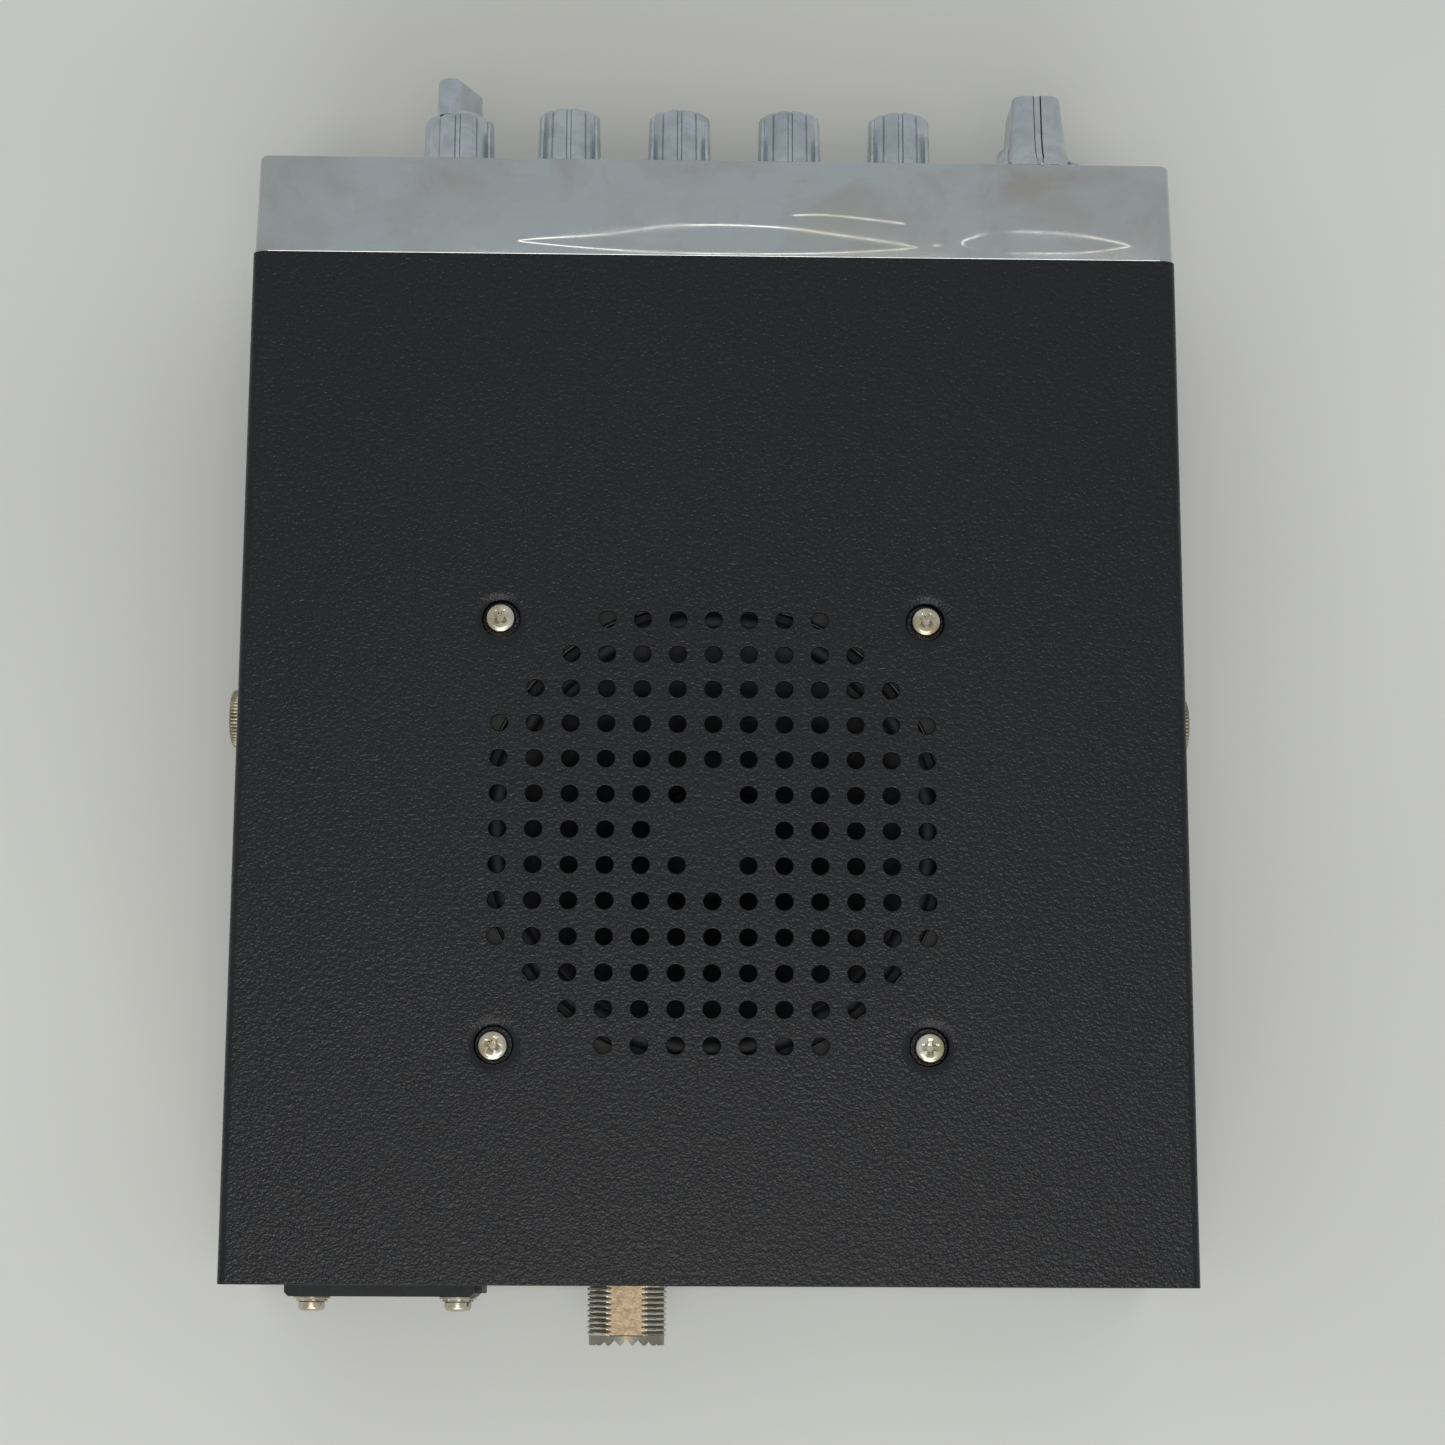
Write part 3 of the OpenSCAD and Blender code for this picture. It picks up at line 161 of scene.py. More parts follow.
def addNode(tree, kind, inputs=None, **settings):   # a node given as an input stands for its first output
    node = tree.nodes.new(kind)
    for name, value in settings.items():
        setattr(node, name, value)
    for key, value in (inputs or {}).items():
        value = value.outputs[0] if isinstance(value, bpy.types.Node) else value
        if isinstance(value, bpy.types.NodeSocket):
            tree.links.new(value, node.inputs[key])
        else:
            node.inputs[key].default_value = value
    return node


def hexColor(code):   # sRGB hex to linear
    parts = [int(code[i:i + 2], 16) / 255 for i in (1, 3, 5)]
    return tuple(c / 12.92 if c <= 0.04045 else ((c + 0.055) / 1.055) ** 2.4 for c in parts) + (1.0,)


def newTree(name, **sizes):   # a geometry tree with one geometry input, and inputs named by kind
    tree = bpy.data.node_groups.new(name, "GeometryNodeTree")
    tree.interface.new_socket("Geometry", in_out="INPUT", socket_type="NodeSocketGeometry")
    for kind, labels in sizes.items():
        for label in labels:
            tree.interface.new_socket(label, in_out="INPUT", socket_type="NodeSocket" + kind)
    tree.interface.new_socket("Geometry", in_out="OUTPUT", socket_type="NodeSocketGeometry")
    return tree, addNode(tree, "NodeGroupInput").outputs


def endTree(tree, geometry, material):
    whole = addNode(tree, "GeometryNodeRealizeInstances", {0: geometry})
    coated = addNode(tree, "GeometryNodeSetMaterial", {0: whole, "Material": material})
    addNode(tree, "NodeGroupOutput", {0: coated})


def calculator(tree):   # makes math nodes from an operation's name and its values
    def calc(operation, *values):
        return addNode(tree, "ShaderNodeMath", dict(enumerate(values)), operation=operation).outputs[0]
    return calc


def compared(tree, value, operation, limit):
    return addNode(tree, "FunctionNodeCompare", {0: value, 1: limit}, operation=operation).outputs[0]


def positionOf(tree):   # the outputs are each point's x, y and z
    return addNode(tree, "ShaderNodeSeparateXYZ", {0: addNode(tree, "GeometryNodeInputPosition")}).outputs


def shapeAtPoints(tree, points, shape, **turn):   # a copy of an object's mesh at each point
    info = addNode(tree, "GeometryNodeObjectInfo", {0: shape}, transform_space="ORIGINAL")
    inputs = {"Points": points, "Instance": info.outputs["Geometry"], **turn}
    return addNode(tree, "GeometryNodeInstanceOnPoints", inputs).outputs[0]


def grown(name, mesh, tree, values):   # runs the tree on the mesh and gives back a plain mesh
    maker = bpy.data.objects.new(name + "Maker", mesh)
    scene.collection.objects.link(maker)
    modifier = maker.modifiers.new("grow", "NODES")
    modifier.node_group = tree
    for item in tree.interface.items_tree:
        if item.in_out == "INPUT" and item.name in values:
            modifier[item.identifier] = values[item.name]
    view = bpy.context.evaluated_depsgraph_get()
    result = bpy.data.meshes.new_from_object(maker.evaluated_get(view), depsgraph=view)
    maker.modifiers.clear()
    bpy.data.objects.remove(maker)
    result.name = name
    return result


def hiddenShape(name, mesh):   # an object that only lends its mesh to a tree
    return bpy.data.objects.new(name, mesh)


# materials

def newMaterial(name, base, rough, metal=0.0, **sockets):
    material = bpy.data.materials.new(name)
    material.use_nodes = True
    material.diffuse_color = hexColor(base)
    tree = material.node_tree
    shader = tree.nodes["Principled BSDF"]
    shader.inputs["Base Color"].default_value = hexColor(base)
    shader.inputs["Roughness"].default_value = rough
    shader.inputs["Metallic"].default_value = metal
    for label, value in sockets.items():
        shader.inputs[label.replace("_", " ")].default_value = value
    place = addNode(tree, "ShaderNodeTexCoord").outputs["Object"]
    return material, tree, shader, place


def grain(tree, place, size, detail=2.0, rough=0.5, distortion=0.0):   # soft noise, its lumps size mm across
    return addNode(tree, "ShaderNodeTexNoise", {"Vector": place, "Scale": 0.6 / (size * mm), "Detail": detail,
                   "Roughness": rough, "Distortion": distortion}).outputs["Fac"]


def spread(tree, value, low, high, toLow=0.0, toHigh=1.0):   # maps one range on another
    return addNode(tree, "ShaderNodeMapRange", {"Value": value, 1: low, 2: high, 3: toLow, 4: toHigh}).outputs[0]


def blendColors(tree, amount, first, second):   # between two sRGB hex codes, or a code and a socket
    first, second = (hexColor(c) if isinstance(c, str) else c for c in (first, second))
    return addNode(tree, "ShaderNodeMix", {0: amount, 6: first, 7: second}, data_type="RGBA").outputs[2]


def tinted(tree, shader, amount, first, second):   # the surface's colour, between two tones
    tree.links.new(blendColors(tree, amount, first, second), shader.inputs["Base Color"])


def roughened(tree, shader, value, low, high, rough, roughFar):   # its roughness, over a range of the value
    tree.links.new(spread(tree, value, low, high, rough, roughFar), shader.inputs["Roughness"])


def bumped(tree, shader, height, strength, depth):   # depth in millimetres
    bump = addNode(tree, "ShaderNodeBump", {"Height": height, "Strength": strength, "Distance": depth * mm})
    tree.links.new(bump.outputs[0], shader.inputs["Normal"])


def finish(name, base, shade, rough, roughFar, patch, fine, depth, metal=0.0, **sockets):
    # two tones in patches of one size, and a fine surface texture of another
    material, tree, shader, place = newMaterial(name, base, rough, metal, **sockets)
    tinted(tree, shader, spread(tree, grain(tree, place, patch, 3.0, 0.55), 0.35, 0.65), base, shade)
    specks = grain(tree, place, fine, 2.0, 0.6)
    roughened(tree, shader, specks, 0.3, 0.7, rough, roughFar)
    if depth:
        bumped(tree, shader, specks, 0.6, depth)
    return material


def powderCoat():
    # textured black powder coat on steel: baked plastic paint with a leathery grain about 0.5 mm across,
    # whose lumps each catch a small soft glint
    material, tree, shader, place = newMaterial("powderCoatedSteel", "#0c0d11", 0.3, IOR=1.42)
    calc = calculator(tree)
    lumps = grain(tree, place, 0.5, 2.0, 0.55, 0.4)
    fine = grain(tree, place, 0.25, 1.0, 0.5)
    patches = grain(tree, place, 38, 2.0, 0.5)
    tinted(tree, shader, spread(tree, lumps, 0.35, 0.7), "#06070c", "#0f1016")
    rough = calc("ADD", spread(tree, fine, 0.3, 0.7, 0.24, 0.36), spread(tree, patches, 0.35, 0.65, -0.02, 0.03))
    tree.links.new(rough, shader.inputs["Roughness"])
    bumped(tree, shader, calc("MULTIPLY_ADD", fine, 0.3, lumps), 1.0, 0.18)
    return material


def chromedPlastic():
    # vacuum chromed ABS, gone slightly dull: a cool grey mirror with soft handling smudges, some warm and some
    # grey, each a centimetre or two across, and faint wiping marks
    material, tree, shader, place = newMaterial("chromedPlastic", "#b9c0c4", 0.06, 1.0)
    calc = calculator(tree)
    warm = spread(tree, grain(tree, place, 13, 5.0, 0.6, 0.5), 0.46, 0.72)
    stretched = addNode(tree, "ShaderNodeMapping", {"Vector": place, "Rotation": (0, 0, 0.5), "Scale": (1, 3, 1)})
    dull = spread(tree, grain(tree, stretched, 8, 4.0, 0.6, 0.4), 0.48, 0.7)
    warmed = blendColors(tree, warm, "#bec4c6", "#afaca7")
    tinted(tree, shader, calc("MULTIPLY", dull, 0.5), warmed, "#b1b6b8")
    roughened(tree, shader, calc("MAXIMUM", warm, dull), 0.0, 1.0, 0.035, 0.1)
    bumped(tree, shader, grain(tree, place, 5, 2.0, 0.5), 0.2, 0.01)
    return material


def platedKnob():
    # bright plated ABS knobs, satin from handling: cool light grey with small duller patches
    material, tree, shader, place = newMaterial("platedKnobPlastic", "#b4bdc2", 0.3, 1.0)
    patches = grain(tree, place, 4, 3.0, 0.6, 0.6)
    tinted(tree, shader, spread(tree, patches, 0.38, 0.66), "#c4ccd1", "#aeb7bc")
    roughened(tree, shader, patches, 0.35, 0.65, 0.17, 0.3)
    return material


def threadedNickel(axisX, axisZ, root, crest):
    # nickel plated brass on a threaded socket, yellow where the plating is thin, with painted shade in the thread:
    # its colour darkens from the bright crests down to the valleys, by distance from the socket's axis
    material, tree, shader, place = newMaterial("threadedNickelBrass", "#c9c5b8", 0.25, 1.0)
    spot = addNode(tree, "ShaderNodeSeparateXYZ", {0: place}).outputs
    flat = addNode(tree, "ShaderNodeCombineXYZ", {0: spot[0], 2: spot[2]})
    off = addNode(tree, "ShaderNodeVectorMath", {0: flat, 1: (axisX * mm, 0, axisZ * mm)},
                  operation="DISTANCE")
    # painted shade: darker towards the thread's root
    depth = spread(tree, off.outputs["Value"], root * mm, crest * mm, 0.15, 1.0)
    thin = spread(tree, grain(tree, place, 2.4, 4.0, 0.6, 0.5), 0.5, 0.7, 0.0, 0.8)
    tinted(tree, shader, depth, "#716b5d", blendColors(tree, thin, "#d2cfc7", "#b5a26c"))
    roughened(tree, shader, depth, 0.0, 1.0, 0.55, 0.22)
    return material


def smokedWindow():
    # smoked acrylic over the displays: clear and glossy, grey brown in depth, with faint wipe marks
    material, tree, shader, place = newMaterial("smokedAcrylic", "#6a6462", 0.05, Transmission_Weight=0.92, IOR=1.49)
    marks = grain(tree, place, 7, 4.0, 0.6, 1.0)
    roughened(tree, shader, marks, 0.45, 0.7, 0.03, 0.14)
    tinted(tree, shader, spread(tree, marks, 0.4, 0.6), "#97908b", "#857e7a")
    return material


def glowing(name, base, dark, light, strength):
    # clear coloured plastic with a painted glow: a faint emission, with no lamp behind it
    material, tree, shader, place = newMaterial(name, base, 0.25, Emission_Strength=strength, IOR=1.5)
    shader.inputs["Emission Color"].default_value = hexColor(light)
    tinted(tree, shader, spread(tree, grain(tree, place, 1.6), 0.3, 0.7), base, dark)
    return material


def circuitBoard():
    # green solder mask over copper: tracks show as slightly lighter, raised lines about 1 mm wide
    material, tree, shader, place = newMaterial("solderMaskedBoard", "#1c5a33", 0.3, Coat_Weight=0.4)
    squares = addNode(tree, "ShaderNodeTexBrick", {"Vector": place, "Scale": 1.0, "Brick Width": 7 * mm,
                      "Row Height": 2.2 * mm, "Mortar Size": 0.35 * mm, "Color1": hexColor("#1d5f36"),
                      "Color2": hexColor("#174d2c"), "Mortar": hexColor("#2a7a48")})
    tree.links.new(squares.outputs[0], shader.inputs["Base Color"])
    bumped(tree, shader, squares.outputs["Fac"], 0.4, 0.05)
    roughened(tree, shader, grain(tree, place, 3), 0.3, 0.7, 0.24, 0.4)
    return material


def brushedPlate():
    # black anodised front plate, brushed along its length: a fine horizontal grain about 0.25 mm apart
    material, tree, shader, place = newMaterial("brushedAnodisedPlate", "#17181b", 0.38, 0.6)
    along = addNode(tree, "ShaderNodeMapping", {"Vector": place, "Scale": (0.02, 1, 1)})
    hairs = grain(tree, along, 0.3, 3.0, 0.6)
    tinted(tree, shader, spread(tree, hairs, 0.35, 0.65), "#131417", "#26282c")
    roughened(tree, shader, hairs, 0.3, 0.7, 0.3, 0.46)
    bumped(tree, shader, hairs, 0.3, 0.02)
    return material


def conePaper():
    # doped paper pulp, blue black: a fibrous grain about 1 mm long that takes a dull sheen
    material, tree, shader, place = newMaterial("dopedPaper", "#06070b", 0.6, Sheen_Weight=0.05)
    fibres = grain(tree, place, 0.9, 4.0, 0.7, 1.2)
    tinted(tree, shader, spread(tree, fibres, 0.35, 0.65), "#050609", "#0a0d16")
    bumped(tree, shader, fibres, 0.5, 0.12)
    return material


# Each finish is named for the real one, or for the painted shade it carries, and the comment says what it gives the
# eye. The values are two tones, roughness from and to, the size of patches and of grain, the grain's depth, and how
# metallic.
coat = powderCoat()
chrome = chromedPlastic()
knobPlate = platedKnob()
threaded = threadedNickel(16.1, 30, 7.4, 7.75)
smoke = smokedWindow()
board = circuitBoard()
frontPlate = brushedPlate()
paper = conePaper()
# patchy grey tan
wornNickel = finish("wornNickelPlate", "#b3ad9b", "#7d7662", 0.25, 0.42, 1.5, 0.4, 0.02, 1.0)
# painted shade in the knobs' grooves: dark grey plating on the groove walls and floors
grooveShadePlate = finish("paintedGrooveShade", "#3e4448", "#31363a", 0.4, 0.55, 3, 0.4, 0.0, 1.0)
# bright, faintly yellow
screwNickel = finish("nickelPlatedSteel", "#d9d5ca", "#b5a98a", 0.16, 0.34, 2.2, 0.5, 0.01, 1.0)
# cloudy grey
zincSteel = finish("zincPlatedSteel", "#a9adaf", "#8f9597", 0.3, 0.45, 9, 0.8, 0.01, 1.0)
# pinkish, sparkling
salmon = finish("milledBrassFlat", "#bfab8c", "#a08c76", 0.3, 0.55, 0.7, 0.25, 0.04, 1.0)
# matt black with a soft sheen
anodised = finish("blackAnodisedAluminium", "#17181a", "#222427", 0.4, 0.55, 8, 0.5, 0.01, 0.3)
# dull, slightly shiny black
blackScrew = finish("blackOxideSteel", "#1b1b1d", "#2c2c2f", 0.3, 0.5, 1.5, 0.4, 0.01, 0.6)
# moulded, faintly grainy
blackNylon = finish("blackNylon", "#161618", "#1f1f22", 0.45, 0.6, 6, 0.4, 0.02, IOR=1.53)
# spangled grey
speakerSteel = finish("galvanisedSteel", "#7b7e7c", "#646866", 0.35, 0.5, 6, 1.2, 0.02, 1.0)
# fibrous, dull, and darkened nearly to black: painted shade on the grey card under the cover
shadedGasketCard = finish("shadedGreyCard", "#26271f", "#1e1f1b", 0.8, 0.95, 5, 0.4, 0.05)
# sintered, dark grey
ferrite = finish("ferrite", "#3a3a3c", "#2d2d30", 0.55, 0.75, 3, 0.5, 0.04)
# waxy white
ptfe = finish("mouldedPtfe", "#e4dfd0", "#d8d1bd", 0.4, 0.5, 4, 0.6, 0.01, IOR=1.38)
# warm, bright
gilt = finish("silverPlatedBrass", "#d6cba6", "#c0ae78", 0.2, 0.35, 2.5, 0.4, 0.01, 1.0)
# glossy red brown
phenolic = finish("mouldedPhenolic", "#6c2b1f", "#5a2319", 0.4, 0.5, 5, 0.5, 0.02, IOR=1.6)
# matt dark grey
modulePlastic = finish("greyPolycarbonate", "#45464a", "#3a3b3f", 0.45, 0.6, 5, 0.5, 0.02)
# slightly yellow grey
potMetal = finish("passivatedSteel", "#9ba0a0", "#8c8a72", 0.35, 0.5, 3, 0.6, 0.01, 1.0)
# pale, drawn lines
shaftMetal = finish("drawnAluminium", "#c9cbcb", "#b4b7b8", 0.25, 0.4, 4, 0.3, 0.01, 1.0)
# bright, mottled
tinned = finish("tinnedSteel", "#c3c6c4", "#a8abaa", 0.2, 0.35, 5, 0.6, 0.01, 1.0)
# plain grey metal
bareAlloy = finish("extrudedAluminium", "#b9bcbe", "#a4a8ab", 0.35, 0.5, 8, 0.4, 0.01, 1.0)
# dull black
partPlastic = finish("epoxyMoulding", "#24262b", "#303238", 0.45, 0.6, 2, 0.4, 0.02)
# smooth red
wireCover = finish("vinylCovering", "#8b2a22", "#7b221c", 0.4, 0.5, 6, 0.5, 0.01)
# matt printed ink
ink = finish("whiteScreenInk", "#d9d9d4", "#cbcbc6", 0.6, 0.75, 3, 0.5, 0)
# painted glow: each of these three gives off a little light of its own, though no lamp lights it
lampRed = glowing("redLampPlastic", "#a8261c", "#7d150e", "#ff3a20", 0.15)
digitGreen = glowing("unlitSegmentPlastic", "#8a9a93", "#73837c", "#a8ffcf", 0.02)
barAmber = glowing("amberBarPlastic", "#a87a35", "#8c6127", "#ffb040", 0.05)
print("materials made:", len(bpy.data.materials))


# the covers: bent sheet steel, the upper one pierced for the speaker

cover = dict(sheet=1.0, bend=1.8, bendSteps=8, pitch=7.0, hole=3.5, holeSteps=24, reach=9, half=6, edge=0.3,
             edgeSteps=3, edgeAngle=40, seat=2.0, dimpleSteps=48, acrossLines=(62, 75),
             alongLines=(-95, -80, -60, -48, 76, 90, 97), baseAcrossLines=(20, 60), baseAlongLines=(-95, -40, 40, 95),
             dimple=[(1.7, -2.0), (3.45, -2.0), (3.66, -1.9), (3.74, -1.6), (3.8, -0.75), (4.05, -0.42),
                     (4.45, -0.2), (4.95, -0.07), (5.5, 0.0), (6.1, 0.0)],
             underside=[(1.7, -2.8), (4.5, -2.8), (4.7, -2.6), (4.7, -1.2), (4.95, -1.0), (6.1, -1.0)])
coverLow, coverHigh = nodeBox("speaker_cover")
speakerX, speakerY, _ = middleOf("speaker_screws")
corners = [(a, b) for a in (-1, 1) for b in (-1, 1)]


def isPierced(i, j):
    return max(abs(i), abs(j)) <= cover["half"] and 1 < abs(i) + abs(j) <= cover["reach"]


def sheetStations(halfWidth, foot, top, flatLines):   # (outer x, z, inner x, z) round the bent section
    t, bend = cover["sheet"], cover["bend"]
    right = [(halfWidth, foot, halfWidth - t, foot), (halfWidth, top - bend, halfWidth - t, top - bend)]
    for k in range(1, cover["bendSteps"]):
        a = pi / 2 * k / cover["bendSteps"]
        right.append((halfWidth - bend + bend * cos(a), top - bend + bend * sin(a),
                      halfWidth - bend + (bend - t) * cos(a), top - bend + (bend - t) * sin(a)))
    left = [(-a, b, -c, d) for a, b, c, d in reversed(right)]
    return right + [(x, top, x, top - t) for x in sorted(flatLines, reverse=True)] + left


def bentSheet(halfWidth, foot, top, flatLines, lengthLines, isOpen):
    bm = bmesh.new()
    stations = sheetStations(halfWidth, foot, top, flatLines)
    outer = [[bm.verts.new(Vector((s[0], y, s[1])) * mm) for y in lengthLines] for s in stations]
    inner = [[bm.verts.new(Vector((s[2], y, s[3])) * mm) for y in lengthLines] for s in stations]
    last, end = len(stations) - 1, len(lengthLines) - 1
    for i in range(last):
        for j in range(end):
            midX = (stations[i][0] + stations[i + 1][0]) / 2
            midY = (lengthLines[j] + lengthLines[j + 1]) / 2
            if stations[i][1] == stations[i + 1][1] == top and isOpen(midX, midY):
                continue
            bm.faces.new((outer[i][j], outer[i + 1][j], outer[i + 1][j + 1], outer[i][j + 1]))
            bm.faces.new((inner[i][j + 1], inner[i + 1][j + 1], inner[i + 1][j], inner[i][j]))
        for j in (0, end):
            bm.faces.new((outer[i][j], inner[i][j], inner[i + 1][j], outer[i + 1][j]))
    for i in (0, last):
        for j in range(end):
            bm.faces.new((outer[i][j], outer[i][j + 1], inner[i][j + 1], inner[i][j]))
    return bm


def dimplePatch(bm, x, y, top):   # a pressed seat for a screw, in a patch three holes wide
    steps, pitch = cover["dimpleSteps"], cover["pitch"]
    outline = []
    for side in range(4):
        c, s = cos(side * pi / 2), sin(side * pi / 2)
        for along in (-1.5, -0.5, 0.5):
            px, py = 1.5 * pitch, along * pitch
            outline.append((px * c - py * s, px * s + py * c))
    rims = []
    for profile in (cover["dimple"], cover["underside"]):
        rings = [[bm.verts.new(Vector((x + px, y + py, top + h)) * mm) for px, py in circle(r, steps)]
                 for r, h in profile]
        for a, b in zip(rings, rings[1:]):
            for k in range(steps):
                bm.faces.new((a[k], a[(k + 1) % steps], b[(k + 1) % steps], b[k]))
        rims.append((rings[0], rings[-1], top + profile[-1][1]))
    for k in range(steps):
        m = (k + 1) % steps
        bm.faces.new((rims[0][0][k], rims[0][0][m], rims[1][0][m], rims[1][0][k]))
    marks = [round(atan2(py, px) / (2 * pi) * steps) % steps for px, py in outline]
    count = len(outline)
    for _, ring, z in rims:
        verts = [bm.verts.new(Vector((x + px, y + py, z)) * mm) for px, py in outline]
        for n in range(count):
            m = (n + 1) % count
            span = (marks[m] - marks[n]) % steps
            arc = [ring[(marks[n] + s) % steps] for s in range(span, -1, -1)]
            bm.faces.new([verts[n], verts[m]] + arc)


def piercedCell():   # one hole of the grille in its own square of sheet, a few dozen faces
    steps, r, a, t = cover["holeSteps"], cover["hole"] / 2, cover["pitch"] / 2, cover["sheet"]
    points, faces = [], []
    for z in (0, -t):
        points += [(x, y, z) for x, y in circle(r, steps)]
        points += [(a, a, z), (-a, a, z), (-a, -a, z), (a, -a, z)]
    below = steps + 4
    for k in range(steps):
        m = (k + 1) % steps
        faces.append((k, m, below + m, below + k))
    quarter = steps // 4
    for side in range(4):
        first = quarter // 2 + side * quarter
        arc = [(first + s) % steps for s in range(quarter, -1, -1)]
        faces.append([steps + side, steps + (side + 1) % 4] + arc)
        faces.append([below + n for n in reversed([steps + side, steps + (side + 1) % 4] + arc)])
    return meshOf("piercedCell", points, faces)


def grilleTree():   # sets one cell at each place the rule allows, and joins it to the sheet
    tree, given = newTree("speakerGrille", Float=["Pitch", "Half", "Reach"], Vector=["Centre"], Object=["Cell"],
                          Material=["Coat"])
    calc = calculator(tree)
    span = calc("MULTIPLY", calc("MULTIPLY", given["Pitch"], given["Half"]), 2.0)
    count = calc("MULTIPLY_ADD", given["Half"], 2.0, 1.0)
    grid = addNode(tree, "GeometryNodeMeshGrid", {"Size X": span, "Size Y": span, "Vertices X": count,
                   "Vertices Y": count})
    where = positionOf(tree)
    total = calc("ADD", *[calc("DIVIDE", calc("ABSOLUTE", where[n]), given["Pitch"]) for n in (0, 1)])
    far = compared(tree, total, "GREATER_THAN", calc("ADD", given["Reach"], 0.5))
    near = compared(tree, total, "LESS_THAN", 1.5)
    either = addNode(tree, "FunctionNodeBooleanMath", {0: far, 1: near}, operation="OR").outputs[0]
    kept = addNode(tree, "GeometryNodeDeleteGeometry", {0: grid, 1: either}, domain="POINT")
    moved = addNode(tree, "GeometryNodeTransform", {0: kept, "Translation": given["Centre"]})
    cells = shapeAtPoints(tree, moved, given["Cell"])
    joined = addNode(tree, "GeometryNodeJoinGeometry", {0: given["Geometry"]})
    tree.links.new(cells, joined.inputs[0])
    endTree(tree, joined, given["Coat"])
    return tree


def bareMesh(name, bm):   # the mesh of a finished bmesh
    mesh = bpy.data.meshes.new(name)
    bm.to_mesh(mesh)
    bm.free()
    return mesh


def makeSpeakerCover():
    pitch, half = cover["pitch"], cover["half"]
    reach = (half + 1.5) * pitch
    flat = coverHigh[0] - cover["bend"]
    cellLines = [(n - half - 1.5) * pitch for n in range(2 * half + 4)]
    flatLines = [speakerX + c for c in cellLines] + [s * x for s in (-1, 1) for x in (flat, *cover["acrossLines"])]
    lengthLines = sorted([coverLow[1], coverHigh[1], *cover["alongLines"]] + [speakerY + c for c in cellLines])

    def isOpen(x, y):
        i, j = round((x - speakerX) / pitch), round((y - speakerY) / pitch)
        if abs(x - speakerX) > reach or abs(y - speakerY) > reach:
            return False
        return isPierced(i, j) or (abs(i) >= half - 1 and abs(j) >= half - 1)

    bm = bentSheet(coverHigh[0], coverLow[2], coverHigh[2], flatLines, lengthLines, isOpen)
    for a, b in corners:
        dimplePatch(bm, speakerX + a * half * pitch, speakerY + b * half * pitch, coverHigh[2])
    sheet = grown("speakerCover", bareMesh("coverSheet", bm), grilleTree(), {"Pitch": pitch * mm, "Half": float(half),
                  "Reach": float(cover["reach"]), "Centre": (speakerX * mm, speakerY * mm, coverHigh[2] * mm),
                  "Cell": hiddenShape("cell", piercedCell()), "Coat": coat})
    piece = asPiece("speakerCover", smoothed(tidyMesh(sheet), 30), None, "chassis", "cover_paint", "speaker_cover")
    rounded(piece, cover["edge"], cover["edgeSteps"], cover["edgeAngle"])


def makeBaseCover():   # the same bent sheet upside down
    low, high = nodeBox("base_cover")
    flatLines = [s * x for s in (-1, 1) for x in (high[0] - cover["bend"], *cover["baseAcrossLines"])]
    bm = bentSheet(high[0], low[2], high[2], flatLines, [low[1], *cover["baseAlongLines"], high[1]], lambda x, y: False)
    for v in bm.verts:
        v.co.z = (low[2] + high[2]) * mm - v.co.z
    mesh = tidyMesh(bareMesh("baseCover", bm))
    piece = asPiece("baseCover", smoothed(mesh, 30), coat, "chassis", "cover_paint", "base_cover")
    rounded(piece, cover["edge"], cover["edgeSteps"], cover["edgeAngle"])


makeSpeakerCover()
makeBaseCover()
print("covers done")


# the bezel: a chromed surround, swept as one closed section round a rounded rectangle

bezel = dict(corner=2.0, draft=0.5, frontRound=0.9, rearRound=0.35, rim=5.0, lip=0.35, seat=1.2, face=3.2,
             wall=1.6, cornerSteps=6, alongTop=360, alongSide=16, alongBase=60, fineRows=64, fineStep=0.16,
             tilt=0.022, farSoft=0.7, nearSoft=0.4, streak=0.3, streakFade=1.5,
             # two flats sunk in the moulding near the joint: along X, each flat's far side and near side
             flats=[[(40, -105.5, -105.3), (23, -106.9, -104.0), (8, -109.1, -103.4), (-12, -109.0, -103.4),
                     (-27, -107.1, -103.9), (-41, -105.0, -104.9)],
                    [(-50, -106.3, -105.6), (-56, -108.2, -104.3), (-64, -108.6, -104.1), (-75, -107.8, -104.4),
                     (-84.5, -105.9, -105.7)]],
             # low ridges beside them: how steep, and where
             streaks=[(0.0165, [(-14.5, -111.5), (-22, -111.7), (-31, -110.9), (-39.5, -109.9)]),
                      (0.0105, [(-43.4, -105.4), (-46.9, -105.5)])])
bezelLow, bezelHigh = nodeBox("front_bezel")
faceHalf = bezelHigh[0] - bezel["draft"]
bezelMid = (bezelLow[2] + bezelHigh[2]) / 2
faceHalfHeight = (bezelHigh[2] - bezelLow[2]) / 2 - bezel["draft"]
faceY = bezelLow[1]
jointY = coverLow[1]


def ramp(t):   # the area under a smooth step that is centred on 0
    return (t + t * erf(t) + exp(-t * t) / sqrt(pi)) / 2


def between(line, x):   # the line's other values at x, on a smooth curve through its points
    n = next(k for k in range(1, len(line)) if line[k][0] <= x)
    a, b = line[n - 1], line[n]
    before, after = line[max(n - 2, 0)], line[min(n + 1, len(line) - 1)]
    gap = a[0] - b[0]
    t = (a[0] - x) / gap
    values = []
    for k in range(1, len(a)):
        leave, reach = (b[k] - before[k]) * gap / (before[0] - b[0]), (after[k] - a[k]) * gap / (a[0] - after[0])
        step = b[k] - a[k]
        values.append(a[k] + t * leave + t * t * (3 * step - 2 * leave - reach) + t ** 3 * (leave + reach - 2 * step))
    return values


